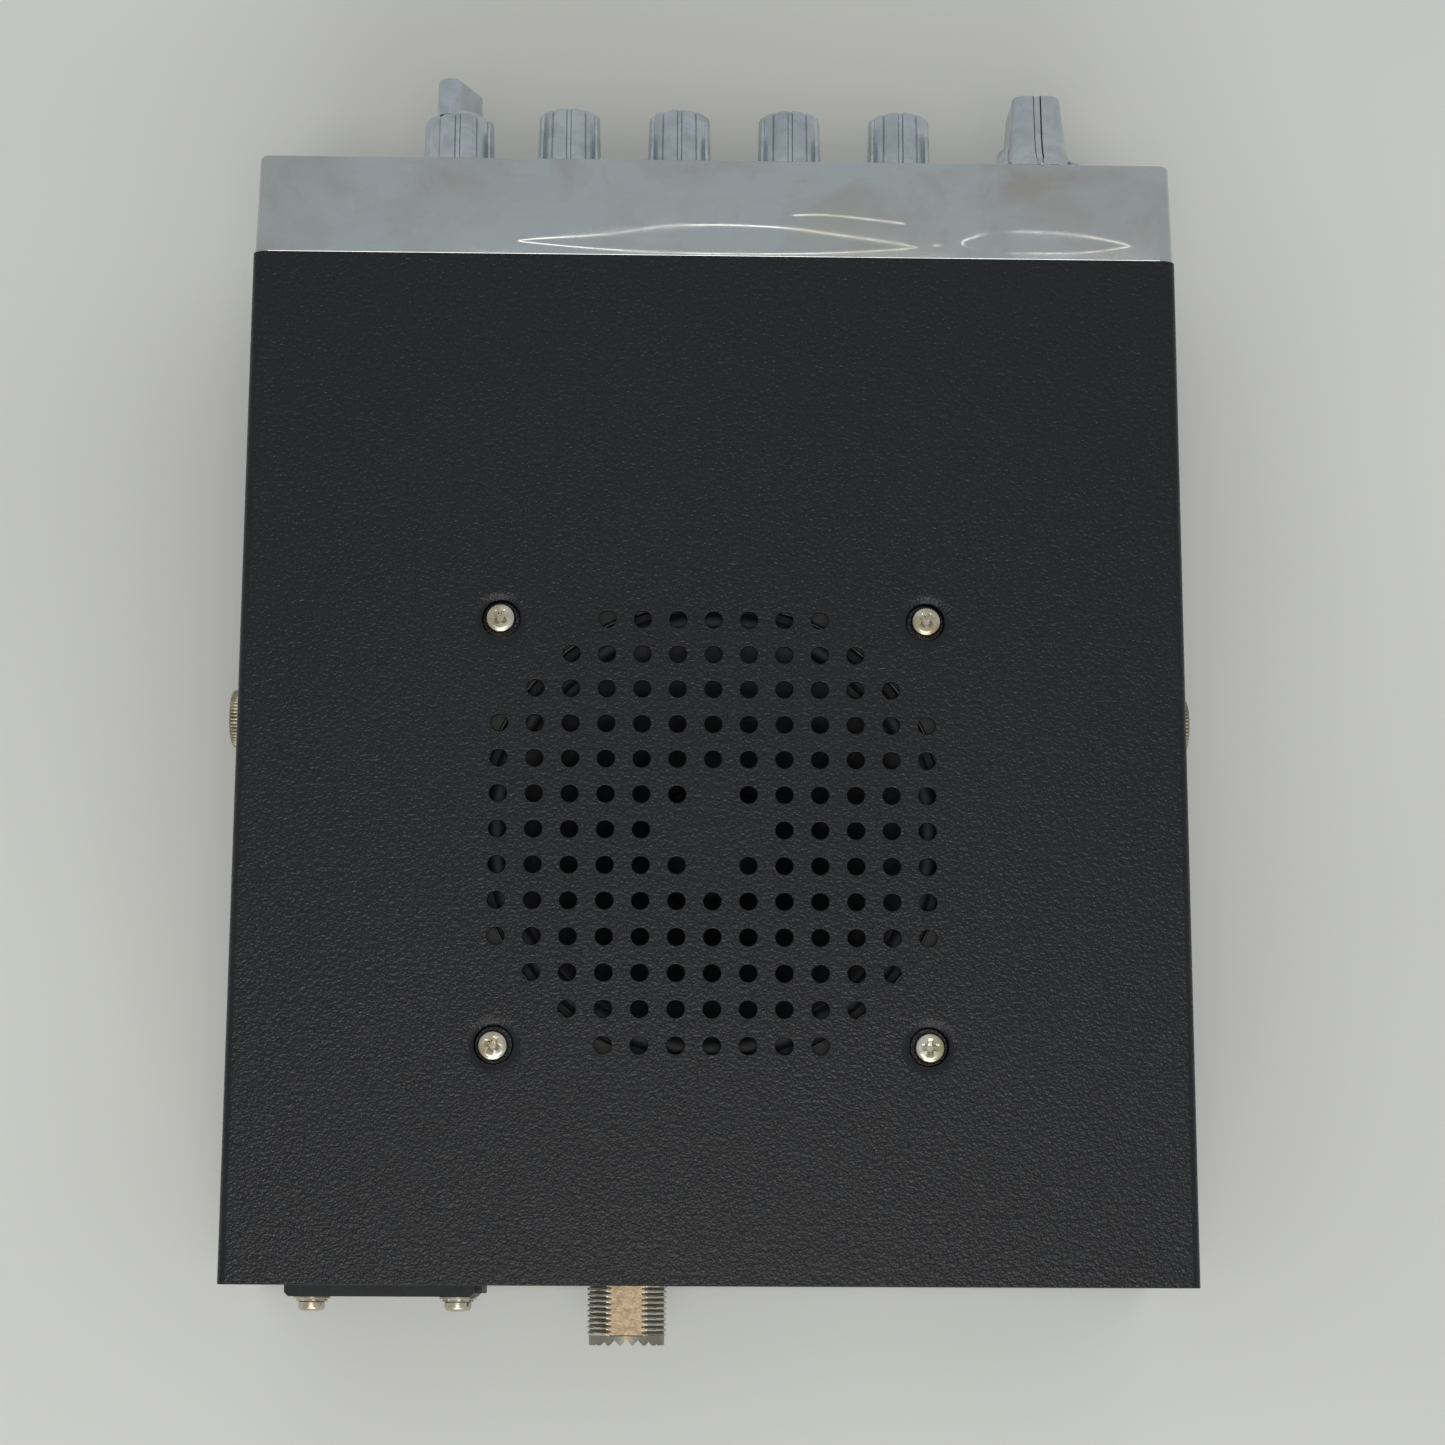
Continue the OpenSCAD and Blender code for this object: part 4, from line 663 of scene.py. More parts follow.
def sinkHeight(x, y):   # how far the flats and ridges move the top of the moulding at a point
    total = 0
    for line in bezel["flats"]:
        if not line[-1][0] < x < line[0][0]:
            continue
        far, near = between(line, x)
        farSoft, nearSoft = (max(0.2, min(0.8 * (near - far), bezel[kind])) for kind in ("farSoft", "nearSoft"))
        for place, sign in ((jointY, -1), (y, 1)):
            lean = farSoft * ramp((place - far) / farSoft) - nearSoft * ramp((place - near) / nearSoft)
            total -= sign * bezel["tilt"] * lean
    width, fadeLength = bezel["streak"], bezel["streakFade"]
    for tilt, line in bezel["streaks"]:
        if line[-1][0] < x < line[0][0]:
            middle, = between(line, x)
            fade = min(1.0, (line[0][0] - x) / fadeLength, (x - line[-1][0]) / fadeLength)
            total -= fade * tilt * sqrt(pi) / 2 * width * (erf((y - middle) / width) - 1)
    return total


def bezelSection():   # (inset, y) round the section: outside, front, opening, seat, inside
    r, rear, lip, draft, rim = (bezel[key] for key in ("frontRound", "rearRound", "lip", "draft", "rim"))
    joint, start = jointY + 0.02, faceY + r
    seat, face, behind = faceY + bezel["seat"], faceY + bezel["face"], rim + 3
    side = [joint - rear - 0.02] + [joint - rear - bezel["fineStep"] * (k + 0.5) for k in range(bezel["fineRows"])]
    side += [side[-1] + (start + 0.03 - side[-1]) * k / 9 for k in range(1, 10)]
    turns = [pi / 2 * k / 5 for k in range(6)]
    section = [(rear * (1 - sin(a)) - draft, joint - rear * (1 - cos(a))) for a in turns]
    section += [(-draft * (y - start) / (joint - start), y) for y in side]
    section += [(r - r * cos(pi / 2 * k / 8), start - r * sin(pi / 2 * k / 8)) for k in range(9)]
    section += [(rim - lip, faceY)]
    section += [(rim - lip + lip * sin(pi / 2 * k / 3), faceY + lip - lip * cos(pi / 2 * k / 3)) for k in (1, 2, 3)]
    section += [(rim, seat), (behind, seat), (behind, face), (bezel["wall"], face), (bezel["wall"], joint)]
    return section


def rimRing(inset, y):   # one ring of the surround, as points round the rounded rectangle
    radius = max(bezel["corner"] - inset, 0.2)
    w, h = faceHalf - inset - radius, faceHalfHeight - inset - radius
    side, turn = bezel["alongSide"], bezel["cornerSteps"]
    edges = [(w, h, bezel["alongTop"], -2 * w, 0), (-w, h, side, 0, -2 * h),
             (-w, -h, bezel["alongBase"], 2 * w, 0), (w, -h, side, 0, 2 * h)]
    ring = []
    for quarter, (cx, cz, count, dx, dz) in enumerate(edges):
        start = pi / 2 * quarter
        angles = [start + pi / 2 * k / turn for k in range(turn)]
        ring += [(cx + radius * cos(a), cz + radius * sin(a)) for a in angles]
        cx, cz = cx + radius * cos(start + pi / 2), cz + radius * sin(start + pi / 2)
        ring += [(cx + dx * k / count, cz + dz * k / count) for k in range(count)]
    top = faceHalfHeight - inset - 0.05
    return [(x, y, bezelMid + z + (sinkHeight(x, y) if z > top and inset < 4 else 0)) for x, z in ring]


def makeBezel():
    rings = [rimRing(*station) for station in bezelSection()]
    mesh = meshOfShells("frontBezel", [], [rings])
    asPiece("frontBezel", smoothed(mesh, 40), chrome, "chassis", "bezel_chrome", "front_bezel")


makeBezel()
print("bezel done")


# knobs: plated caps with twelve flat-bottomed grooves, the same tree for all five

knob = dict(lobes=12, grooveDepth=0.45, floor=0.31, rim=0.51, around=360, rows=30,
            out=[(0, 0), (1, 0), (0.1, 0.95), (0.14, 1.0), (0.62, 1.0), (0.67, 0.99), (0.72, 0.965), (0.78, 0.92),
                 (0.88, 0.6)],
            up=[(0, 0), (1, 1), (0.1, 0.0), (0.14, 0.02), (0.62, 0.965), (0.67, 0.985), (0.72, 0.996), (0.78, 1.0),
                (0.88, 1.0)],
            fluted=[(0, 0), (1, 0), (0.1, 1), (0.14, 1), (0.7, 1), (0.76, 0.8), (0.84, 0.3), (0.88, 0.0)])


def profileCurve(tree, value, stops):   # the value carried through straight stops
    node = addNode(tree, "ShaderNodeFloatCurve", {"Value": value})
    points = node.mapping.curves[0].points
    for n, (a, b) in enumerate(stops):
        if n < 2:
            points[n].location = (a, b)
        else:
            points.new(a, b)
    for point in points:
        point.handle_type = "VECTOR"
    node.mapping.update()
    return node.outputs[0]


def knobTree():   # bends a flat grid into a closed, fluted cap that stands on XY
    tree, given = newTree("flutedKnob",
                          Float=["Base Radius", "Tip Radius", "Length", "Lobes", "Groove Depth", "Floor", "Rim"],
                          Vector=["Centre"], Material=["Plating"])
    calc = calculator(tree)
    grid = addNode(tree, "GeometryNodeMeshGrid", {"Size X": 1.0, "Size Y": 1.0, "Vertices X": knob["around"] + 1,
                   "Vertices Y": knob["rows"] + 1})
    where = positionOf(tree)
    angle = calc("MULTIPLY", calc("ADD", where[0], 0.5), 2 * pi)
    along = calc("ADD", where[1], 0.5)
    out, up, fluted = (profileCurve(tree, along, knob[key]) for key in ("out", "up", "fluted"))
    height = calc("MULTIPLY", up, given["Length"])
    slope = calc("SUBTRACT", given["Tip Radius"], given["Base Radius"])
    radius = calc("MULTIPLY", out, calc("MULTIPLY_ADD", up, slope, given["Base Radius"]))
    wave = calc("ABSOLUTE", calc("SINE", calc("MULTIPLY", angle, calc("MULTIPLY", given["Lobes"], 0.5))))
    groove = spread(tree, wave, given["Floor"], given["Rim"], 1.0, 0.0)
    radius = calc("SUBTRACT", radius, calc("MULTIPLY", calc("MULTIPLY", groove, given["Groove Depth"]), fluted))
    shape = addNode(tree, "ShaderNodeCombineXYZ", {0: calc("MULTIPLY", radius, calc("COSINE", angle)),
                    1: calc("MULTIPLY", radius, calc("SINE", angle)), 2: height})
    bent = addNode(tree, "GeometryNodeSetPosition", {0: grid, "Position": shape})
    closed = addNode(tree, "GeometryNodeMergeByDistance", {0: bent, "Distance": 2e-6})
    turned = addNode(tree, "GeometryNodeTransform", {0: closed, "Translation": given["Centre"],
                     "Rotation": (pi / 2, 0, 0)})
    endTree(tree, turned, given["Plating"])
    return tree


flutedKnob = knobTree()


def makeKnob(node, body, tipDrop):
    low, high = nodeBox(node)
    x, _, z = middleOf(node)
    radius = high[0] - x
    mesh = grown(node + "_cap", bpy.data.meshes.new(node), flutedKnob, {"Base Radius": radius * mm,
                 "Tip Radius": (radius - tipDrop) * mm, "Length": (high[1] - low[1]) * mm,
                 "Lobes": float(knob["lobes"]), "Groove Depth": knob["grooveDepth"] * mm, "Floor": knob["floor"],
                 "Rim": knob["rim"], "Centre": (x * mm, high[1] * mm, z * mm), "Plating": knobPlate})

    def isWall(face):   # on a groove's floor or sides, and facing out from the shaft
        spot = face.center / mm
        wave = abs(sin(atan2(spot.z - z, spot.x - x) * knob["lobes"] / 2))
        return abs(face.normal.y) < 0.5 and knob["floor"] - 0.02 < wave < knob["rim"] + 0.02

    # painted shade: the groove faces take the dark plating, so each groove reads as shaded
    dulled(tidyMesh(mesh), grooveShadePlate, isWall)
    asPiece(node + "_cap", smoothed(mesh, 42), None, body, "knob_plate", node)


makeKnob("rf_gain_ring", "rf_gain", 0.2)
for name in ("squelch", "mic_gain", "power", "clarifier"):
    makeKnob(name + "_knob", name, 0.35)
print("fluted knobs done")


# the volume knob: a leaning bar on a small round foot

bar = dict(span=13.8, thick=5.2, lean=24.6, footRadius=5.1, foot=1.0, endSteps=20,
           tipStops=[(-0.45, 0.0), (0.25, 0.0), (6.9, 0.05), (7.25, 0.14), (7.45, 0.32), (7.56, 0.6), (7.6, 1.0),
                     (7.6, 1.6), (7.6, 2.3)])   # (height, inset) up the bar


def standing(points, x, y, z, lean=0.0):   # from standing on XY to pointing forward at (x, y, z)
    c, s = cos(radians(-lean)), sin(radians(-lean))
    return [(x + px * c - py * s, y - pz, z + px * s + py * c) for px, py, pz in points]


def makeBar():
    x, _, z = middleOf("volume_shaft")
    rear = nodeBox("volume_knob")[1][1]
    rings, steps = [], bar["endSteps"]
    for h, inset in bar["tipStops"]:
        r, straight = bar["thick"] / 2 - inset, (bar["span"] - bar["thick"]) / 2
        ends = [(r * cos(pi * k / steps), straight + r * sin(pi * k / steps), h) for k in range(steps + 1)]
        ends += [(-a, -b, h) for a, b, _ in ends]
        rings.append(standing(ends, x, rear, z, bar["lean"]))
    r, foot = bar["footRadius"], bar["foot"]
    profile = [(r, 0.0), (r, foot - 0.3), (r - 0.1, foot - 0.1), (r - 0.3, foot)]
    footRings = [standing(ring, x, rear, z) for ring in turnedRings(profile, 64)]
    mesh = meshOfShells("volumeBar", [rings, footRings])
    asPiece("volumeBar", smoothed(mesh, 50), knobPlate, "volume", "knob_plate", "volume_knob")


makeBar()


# the channel knob: a tapered grip with a pointer groove, flaring into a slotted skirt

# its stages are (height, width, depth, corner radius)
channel = dict(stages=[(0.0, 12.6, 23.8, 3.0), (1.4, 12.5, 23.6, 3.0), (3.0, 12.2, 21.0, 2.9), (5.0, 11.85, 19.0, 2.85),
               (7.0, 11.5, 18.0, 2.75), (11.0, 10.8, 16.9, 2.65), (15.4, 10.05, 15.8, 2.5), (16.0, 9.95, 15.65, 2.45),
               (16.4, 9.8, 15.5, 2.4), (16.65, 9.55, 15.25, 2.3), (16.77, 9.2, 14.9, 2.15), (16.8, 8.7, 14.4, 1.95)],
               grooveWidth=1.3, grooveDepth=0.45, wall=0.06, edge=0.18, cornerSteps=6,
               skirt=12.0, skirtHeight=1.4, skirtBack=0.4, neck=7.5, neckHeight=6.4, slitHalf=2, slitDepth=0.5)


def gripRing(h, w, d, r):   # a rounded oblong with the pointer groove in both narrow ends
    half, edge, steps = channel["grooveWidth"] / 2, channel["edge"], channel["cornerSteps"]
    cut = channel["grooveDepth"] if h > 0.5 else 0.0
    groove = [(half + edge, 0.0), (half, cut * 0.3), (half - channel["wall"], cut)]
    groove += [(-x, sink) for x, sink in reversed(groove)]
    ring = []
    for quarter, (sx, sy) in enumerate([(1, 1), (-1, 1), (-1, -1), (1, -1)]):
        angles = [pi / 2 * quarter + pi / 2 * k / steps for k in range(steps + 1)]
        ring += [(sx * (w / 2 - r) + r * cos(a), sy * (d / 2 - r) + r * sin(a), h) for a in angles]
        if quarter in (0, 2):
            ring += [(sx * x, sy * (d / 2 - sink), h) for x, sink in groove]
    return ring


def skirtRing(r, h, slit):   # a ring of the skirt, with a narrow flute every 30 degrees
    ring = []
    for k in range(360):
        radius = r - (slit * channel["slitDepth"] if abs((k + 15) % 30 - 15) <= channel["slitHalf"] else 0)
        ring.append((radius * cos(radians(k)), radius * sin(radians(k)), h))
    return ring


def makeChannelKnob():
    x, _, z = middleOf("channel_knob")
    rear = nodeBox("channel_knob")[1][1]
    grip = [standing(gripRing(*stage), x, rear, z) for stage in channel["stages"]]
    height, big, neck, top = (channel[key] for key in ("skirtHeight", "skirt", "neck", "neckHeight"))
    rings = [(big, -channel["skirtBack"], 1), (big, height - 0.15, 1), (big - 0.1, height, 1)]
    for k in range(9):   # the flare up to the grip, where the flutes run out
        a = pi / 2 * k / 8
        rings.append((neck + (big - 0.3 - neck) * (1 - sin(a)), height + 0.1 + (top - height) * (1 - cos(a)),
                      0.8 - 0.1 * k if k < 8 else 0))
    skirt = [standing(skirtRing(*ring), x, rear, z) for ring in rings]
    mesh = meshOfShells("channelKnob", [grip, skirt])
    asPiece("channelKnob", smoothed(mesh, 45), knobPlate, "channel", "knob_plate", "channel_knob")
    half = channel["grooveWidth"] / 2

    # the pointer groove's walls take the same painted groove shade
    def isWall(face):
        return half - 0.1 < abs(face.center.x / mm - x) < half + channel["edge"] and abs(face.normal.x) > 0.3

    dulled(mesh, grooveShadePlate, isWall)


makeChannelKnob()
print("bar and channel knobs done")


# screws: one pan head shape, set at points by a small tree

screws = dict(
    speaker=dict(node="speaker_screws", head=3.0, height=1.9, core=1.5, reach=5.7, nut=4.2, slotName="nickel"),
    side=dict(node="cover_screws", head=2.8, height=1.6, core=1.25, reach=4.2, slotName="black_screw",
              places=[(-82, 42), (18, 42), (82, 42), (-68.333, 13.5), (68.333, 13.5)]),
    antenna=dict(node="antenna_screws", head=2.8, height=1.8, core=1.5, reach=6.6, nut=3.6, span=9.1,
                 slotName="nickel"),
    plate=dict(node="heat_plate_screws", head=2.7, height=1.9, core=1.5, reach=15, washer=1.0, slotName="nickel"))


def crossDepth(x, y, r):   # how deep the cross recess is at a point of the head
    arm, half = 0.56 * r, 0.15 * r
    along, across = max(abs(x), abs(y)), min(abs(x), abs(y))
    inside = min(1.0, max(0.0, (half + 0.06 - across) / 0.1)) * min(1.0, max(0.0, (arm - along) / (0.35 * r)))
    return 0.95 * inside


def screwMesh(name, size):   # its seat at z 0, the head above and the shank below
    r, h, core, reach, lift = size["head"], size["height"], size["core"], size["reach"], size.get("washer", 0.0)
    dome = [(r - 0.25, 0.0), (r, 0.15), (r, 0.45 * h), (r * 0.985, 0.6 * h), (r * 0.94, 0.74 * h), (r * 0.86, 0.86 * h),
            (r * 0.76, 0.93 * h)]
    crown = [0.66, 0.6, 0.54, 0.48, 0.42, 0.36, 0.3, 0.25, 0.21, 0.18, 0.15, 0.12, 0.08, 0.04]
    dome += [(r * k, h - 0.07 * h * (k / 0.76) ** 2) for k in crown]
    rings = [[(x, y, lift + z - crossDepth(x, y, r)) for x, y in circle(q, 48)] for q, z in dome]
    shank = turnedRings([(core, lift + 0.2), (core, -reach + 0.4), (core - 0.35, -reach)], 16)
    stacks, loops = [rings, shank], []
    if lift:   # a plain washer with a toothed one on it
        plain = [(core, 0.0), (3.6, 0.0), (3.7, 0.1), (3.7, 0.42), (3.6, 0.5), (core, 0.5)]
        loops.append(turnedRings(plain, 40))
        toothed = [(3.15, 0.5), (3.15, 0.95), (3.0, 1.0)]
        stacks.append([[(x * (1 - 0.3 * (k % 2) / q), y * (1 - 0.3 * (k % 2) / q), z)
                        for k, (x, y) in enumerate(circle(q, 28))] for q, z in toothed])
    if "nut" in size:
        near, far = -size["nut"], -size["nut"] - 2.2
        stacks.append(turnedRings([(3.0, far), (3.18, far + 0.15), (3.18, near - 0.15), (3.0, near)], 6))
    return smoothed(meshOfShells(name, stacks, loops), 38)


def screwTree():   # a screw at each point, along the point's own direction and turned by chance
    tree, given = newTree("screwsAtPoints", Object=["Screw"], Int=["Seed"], Material=["Metal"])
    axis = addNode(tree, "GeometryNodeInputNamedAttribute", {"Name": "axis"}, data_type="FLOAT_VECTOR")
    aimed = addNode(tree, "FunctionNodeAlignRotationToVector", {"Vector": axis}, axis="Z")
    chance = addNode(tree, "FunctionNodeRandomValue", {2: 0.0, 3: pi / 2, "Seed": given["Seed"]}, data_type="FLOAT")
    spin = addNode(tree, "FunctionNodeAxisAngleToRotation", {"Axis": (0, 0, 1), "Angle": chance.outputs[1]})
    turned = addNode(tree, "FunctionNodeRotateRotation", {0: aimed, 1: spin}, rotation_space="LOCAL")
    placed = shapeAtPoints(tree, given["Geometry"], given["Screw"], Rotation=turned)
    endTree(tree, placed, given["Metal"])
    return tree


screwsAtPoints = screwTree()


def setScrews(kind, points, metal, seed):   # points are (place, axis)
    size = screws[kind]
    mesh = meshOf(kind + "Places", [p for p, _ in points], [])
    axes = mesh.attributes.new("axis", "FLOAT_VECTOR", "POINT")
    for n, (_, axis) in enumerate(points):
        axes.data[n].vector = axis
    done = grown(kind + "Screws", mesh, screwsAtPoints, {"Screw": hiddenShape(kind + "Screw", screwMesh(kind, size)),
                 "Seed": seed, "Metal": metal})
    asPiece(kind + "Screws", done, None, "chassis", size["slotName"], size["node"])


panelOut = nodeBox("rear_panel")[1][1]
plateOut = nodeBox("heat_plate")[1][1]
seatZ = coverHigh[2] - cover["seat"]
socketX, _, midZ = middleOf("antenna_contact")
heatX = middleOf("heat_plate_screws")[0]
heatHalf = nodeBox("heat_plate_screws")[1][0] - heatX - 3.7   # less the washer's radius
span = nodeBox("speaker_screws")[1][0] - speakerX - screws["speaker"]["head"]
setScrews("speaker", [((speakerX + a * span, speakerY + b * span, seatZ), (0, 0, 1)) for a, b in corners],
          screwNickel, 5)
setScrews("side", [((s * coverHigh[0], y, z), (s, 0, 0)) for s in (-1, 1) for y, z in screws["side"]["places"]],
          blackScrew, 3)
span = screws["antenna"]["span"]
setScrews("antenna", [((socketX + a * span, panelOut, midZ + b * span), (0, 1, 0)) for a, b in corners],
          screwNickel, 8)
setScrews("plate", [((heatX + s * heatHalf, plateOut, midZ), (0, 1, 0)) for s in (-1, 1)], screwNickel, 2)
print("screws done")


# the antenna socket: a threaded barrel with two milled flats and a toothed crown

socket = dict(radius=7.94, pitch=1.058, threadDepth=0.55, flat=8.4, crown=1.95, teeth=18, toothDepth=1.3, bore=6.3,
              around=216, perTurn=7)


def socketRadius(a, y, tip):
    if y > tip - socket["crown"]:
        return socket["radius"] - 0.45
    turn = ((y / socket["pitch"]) - a / (2 * pi)) % 1.0
    ridge = min(1.0, max(0.0, 1.75 - abs(turn - 0.5) * 4.4))
    return socket["radius"] - socket["threadDepth"] * (1 - ridge)


def makeSocket():
    start, tip = panelOut - 1.9, nodeBox("antenna_socket")[1][1]
    around, crown, step = socket["around"], tip - socket["crown"], socket["pitch"] / socket["perTurn"]
    flatHeight = sqrt(socket["radius"] ** 2 - socket["flat"] ** 2 / 4)

    def ringAt(y, radius=None):   # cut back between the teeth; with no radius it follows the thread and the flats
        ring = []
        for k in range(around):
            a = 2 * pi * k / around
            r = radius or socketRadius(a, y, tip)
            x, z = r * cos(a), r * sin(a)
            if not radius and start + 0.6 < y < crown:
                z = max(-flatHeight, min(flatHeight, z))
            tooth = abs(((k * socket["teeth"] / around) % 1.0) - 0.5) * 2
            ring.append((socketX + x, min(y, tip - socket["toothDepth"] * (1 - tooth)), midZ + z))
        return ring

    stations = [start + step * n for n in range(int((crown - start) / step))]
    stations += [crown - 0.02, crown + 0.12] + [tip - back for back in (1.6, 1.0, 0.5, 0.2, 0)]
    bore = socket["bore"]
    rings = [ringAt(y) for y in stations]
    rings += [ringAt(y, r) for r, y in ((bore + 0.25, tip), (bore, tip - 0.3), (bore, tip - 2), (bore, start))]
    mesh = smoothed(meshOfShells("antennaSocket", [], [rings]), 45)
    asPiece("antennaSocket", mesh, threaded, "chassis", "nickel", "antenna_socket")

    def isFlat(face):   # the two flats show the bare brass
        return abs(face.normal.z) > 0.999 and abs(face.center.z / mm - midZ) > flatHeight - 0.05

    dulled(mesh, salmon, isFlat)


makeSocket()


# bracket standoffs: knurled bosses with an M5 thread

boss = dict(radius=5.9, bore=2.1, knurl=0.35, knurls=48, around=480, rows=6)


def knurlTree():   # a straight knurl cut into the side of a plain boss
    tree, given = newTree("knurledBoss", Float=["Knurls", "Depth", "Rim Radius"], Vector=["Centre"],
                          Material=["Metal"])
    calc = calculator(tree)
    place = addNode(tree, "GeometryNodeInputPosition").outputs[0]
    local = addNode(tree, "ShaderNodeVectorMath", {0: place, 1: given["Centre"]}, operation="SUBTRACT")
    x, y, z = addNode(tree, "ShaderNodeSeparateXYZ", {0: local}).outputs
    angle = calc("ARCTAN2", z, y)
    radius = calc("SQRT", calc("ADD", calc("MULTIPLY", y, y), calc("MULTIPLY", z, z)))
    ridge = calc("ABSOLUTE", calc("SINE", calc("MULTIPLY", angle, calc("MULTIPLY", given["Knurls"], 0.5))))
    depth = calc("MULTIPLY", calc("MAXIMUM", calc("SUBTRACT", 1.0, ridge), 0.0), given["Depth"])
    rim = compared(tree, radius, "GREATER_THAN", given["Rim Radius"])
    shrink = calc("SUBTRACT", 1.0, calc("DIVIDE", depth, radius))
    moved = addNode(tree, "ShaderNodeCombineXYZ", {0: x, 1: calc("MULTIPLY", y, shrink),
                    2: calc("MULTIPLY", z, shrink)})
    back = addNode(tree, "ShaderNodeVectorMath", {0: moved, 1: given["Centre"]}, operation="ADD")
    shaped = addNode(tree, "GeometryNodeSetPosition", {0: given["Geometry"], "Selection": rim, "Position": back})
    endTree(tree, shaped, given["Metal"])
    return tree


def makeStandoffs():
    y, z, face, wall = middleOf("bracket_standoffs")[1], midZ, nodeBox("bracket_standoffs")[1][0], coverHigh[0]
    r, bore, rows, knurledBoss = boss["radius"], boss["bore"], boss["rows"], knurlTree()
    section = [(bore, wall - 6), (bore, face - 0.4), (bore + 0.35, face), (r - 0.9, face), (r - 0.5, face - 0.12)]
    section += [(r, face - 0.5 - (face - wall - 0.9) * k / rows) for k in range(rows + 1)]
    section += [(r - 0.4, wall + 0.02), (4.0, wall + 0.02), (4.0, wall - 6)]
    for side, name in ((-1, "bracketStandoffLeft"), (1, "bracketStandoffRight")):
        rings = [[(side * x, y + dy, z + dz) for dy, dz in circle(q, boss["around"])] for q, x in section]
        plain = meshOfShells("bossBlank", [], [rings])
        mesh = grown("bossKnurled", plain, knurledBoss, {"Knurls": float(boss["knurls"]), "Depth": boss["knurl"] * mm,
                     "Rim Radius": (r - 0.3) * mm, "Centre": (side * wall * mm, y * mm, z * mm), "Metal": wornNickel})
        asPiece(name, smoothed(mesh, 50), None, "chassis", "nickel", "bracket_standoffs")


makeStandoffs()
print("socket and standoffs done")


# the speaker seen through the grille

cone = dict(outer=45.9, roll=6.0, rollHeight=1.9, coil=12.5, drop=19.0, cap=12.0, capHeight=7.1, ribs=9, ribHeight=0.22,
            steps=30, thick=0.5, around=120)


def makeCone():
    top, out, inner = nodeBox("speaker_cone")[1][2] - cone["rollHeight"], cone["outer"], cone["outer"] - cone["roll"]
    bottom, dome, steps = top - cone["drop"], cone["capHeight"], cone["steps"]
    profile = [(0.02, bottom + dome)]
    profile += [(cone["cap"] * sin(pi / 2 * k / 9), bottom + 1.0 + (dome - 1.0) * cos(pi / 2 * k / 9))
                for k in range(1, 10)]
    for k in range(steps + 1):   # the paper, with low ribs round it
        rib = cone["ribHeight"] * max(0.0, sin(k / steps * cone["ribs"] * 2 * pi)) ** 2
        profile.append((cone["coil"] + (inner - cone["coil"]) * k / steps,
                        top - cone["drop"] * (1 - k / steps) ** 1.15 + rib))
    mid, half = (out + inner) / 2 - 0.5, cone["roll"] / 2 - 0.8
    profile += [(mid - half * cos(pi * k / 10), top + cone["rollHeight"] * sin(pi * k / 10)) for k in range(11)]
    profile += [(out, top)]
    under = [(r, h - cone["thick"]) for r, h in reversed(profile)]
    rings = [[(speakerX + x, speakerY + y, h) for x, y in circle(r, cone["around"])] for r, h in profile + under]
    mesh = meshOfShells("speakerCone", [rings])
    asPiece("speakerCone", smoothed(mesh, 50), paper, "chassis", "cone_paper", "speaker_cone")


makeCone()
softened("speaker_frame", 0.15, speakerSteel, "speaker_steel")
softened("speaker_gasket", 0.1, shadedGasketCard, "gasket_card")
print("speaker done")


# displays: six unlit figures and a bar meter behind smoked windows

displays = dict(figures=6, bars=12, lean=0.1, stroke=1.15, figureWide=3.9, figureTall=8.6, gap=0.12, deep=0.5,
                barWide=1.7, barTall=5.4, barCorner=0.25, rowSpan=40)


def upright(outline, lean=0.0):   # an outline in XZ, leaning in X and deep in Y
    return [[(x + lean * z, y, z) for x, z in outline] for y in (-displays["deep"], 0)]


def strokeShape(x0, z0, x1, z1, width):   # one segment: a bar with pointed ends
    length, w = hypot(x1 - x0, z1 - z0), width / 2
    ux, uz = w * (x1 - x0) / length, w * (z1 - z0) / length
    return [(x0, z0), (x0 + ux - uz, z0 + uz + ux), (x1 - ux - uz, z1 - uz + ux),
            (x1, z1), (x1 - ux + uz, z1 - uz - ux), (x0 + ux + uz, z0 + uz - ux)]


def figureMesh():   # seven segments and a point, facing -Y
    w, h, gap = displays["figureWide"] / 2, displays["figureTall"] / 2, displays["gap"]
    shells = []
    for x0, z0, x1, z1 in [(-w, z, w, z) for z in (h, 0, -h)] + [(x, z, x, z - h) for z in (h, 0) for x in (-w, w)]:
        length = hypot(x1 - x0, z1 - z0)
        a, b = gap * (x1 - x0) / length * 2, gap * (z1 - z0) / length * 2
        outline = strokeShape(x0 + a, z0 + b, x1 - a, z1 - b, displays["stroke"])
        shells.append(upright(outline, displays["lean"]))
    shells.append(upright([(w + 1.2 + x, z - h) for x, z in circle(0.55, 10)], displays["lean"]))
    return meshOfShells("figure", shells)


def barMesh():
    r = displays["barCorner"]
    w, h = displays["barWide"] / 2 - r, displays["barTall"] / 2 - r
    outline = [(sx * w + r * cos(start + turn), sz * h + r * sin(start + turn))
               for sx, sz, start in ((1, 1, 0), (-1, 1, pi / 2), (-1, -1, pi), (1, -1, 1.5 * pi))
               for turn in (0, pi / 4, pi / 2)]
    return meshOfShells("bar", [upright(outline)])


def rowTree():   # one shape repeated along a line
    tree, given = newTree("displayRow", Int=["Count"], Vector=["Step", "Start"], Object=["Shape"], Material=["Lens"])
    line = addNode(tree, "GeometryNodeMeshLine", {"Count": given["Count"], "Start Location": given["Start"],
                   "Offset": given["Step"]}, mode="OFFSET")
    endTree(tree, shapeAtPoints(tree, line, given["Shape"]), given["Lens"])
    return tree


displayRow = rowTree()


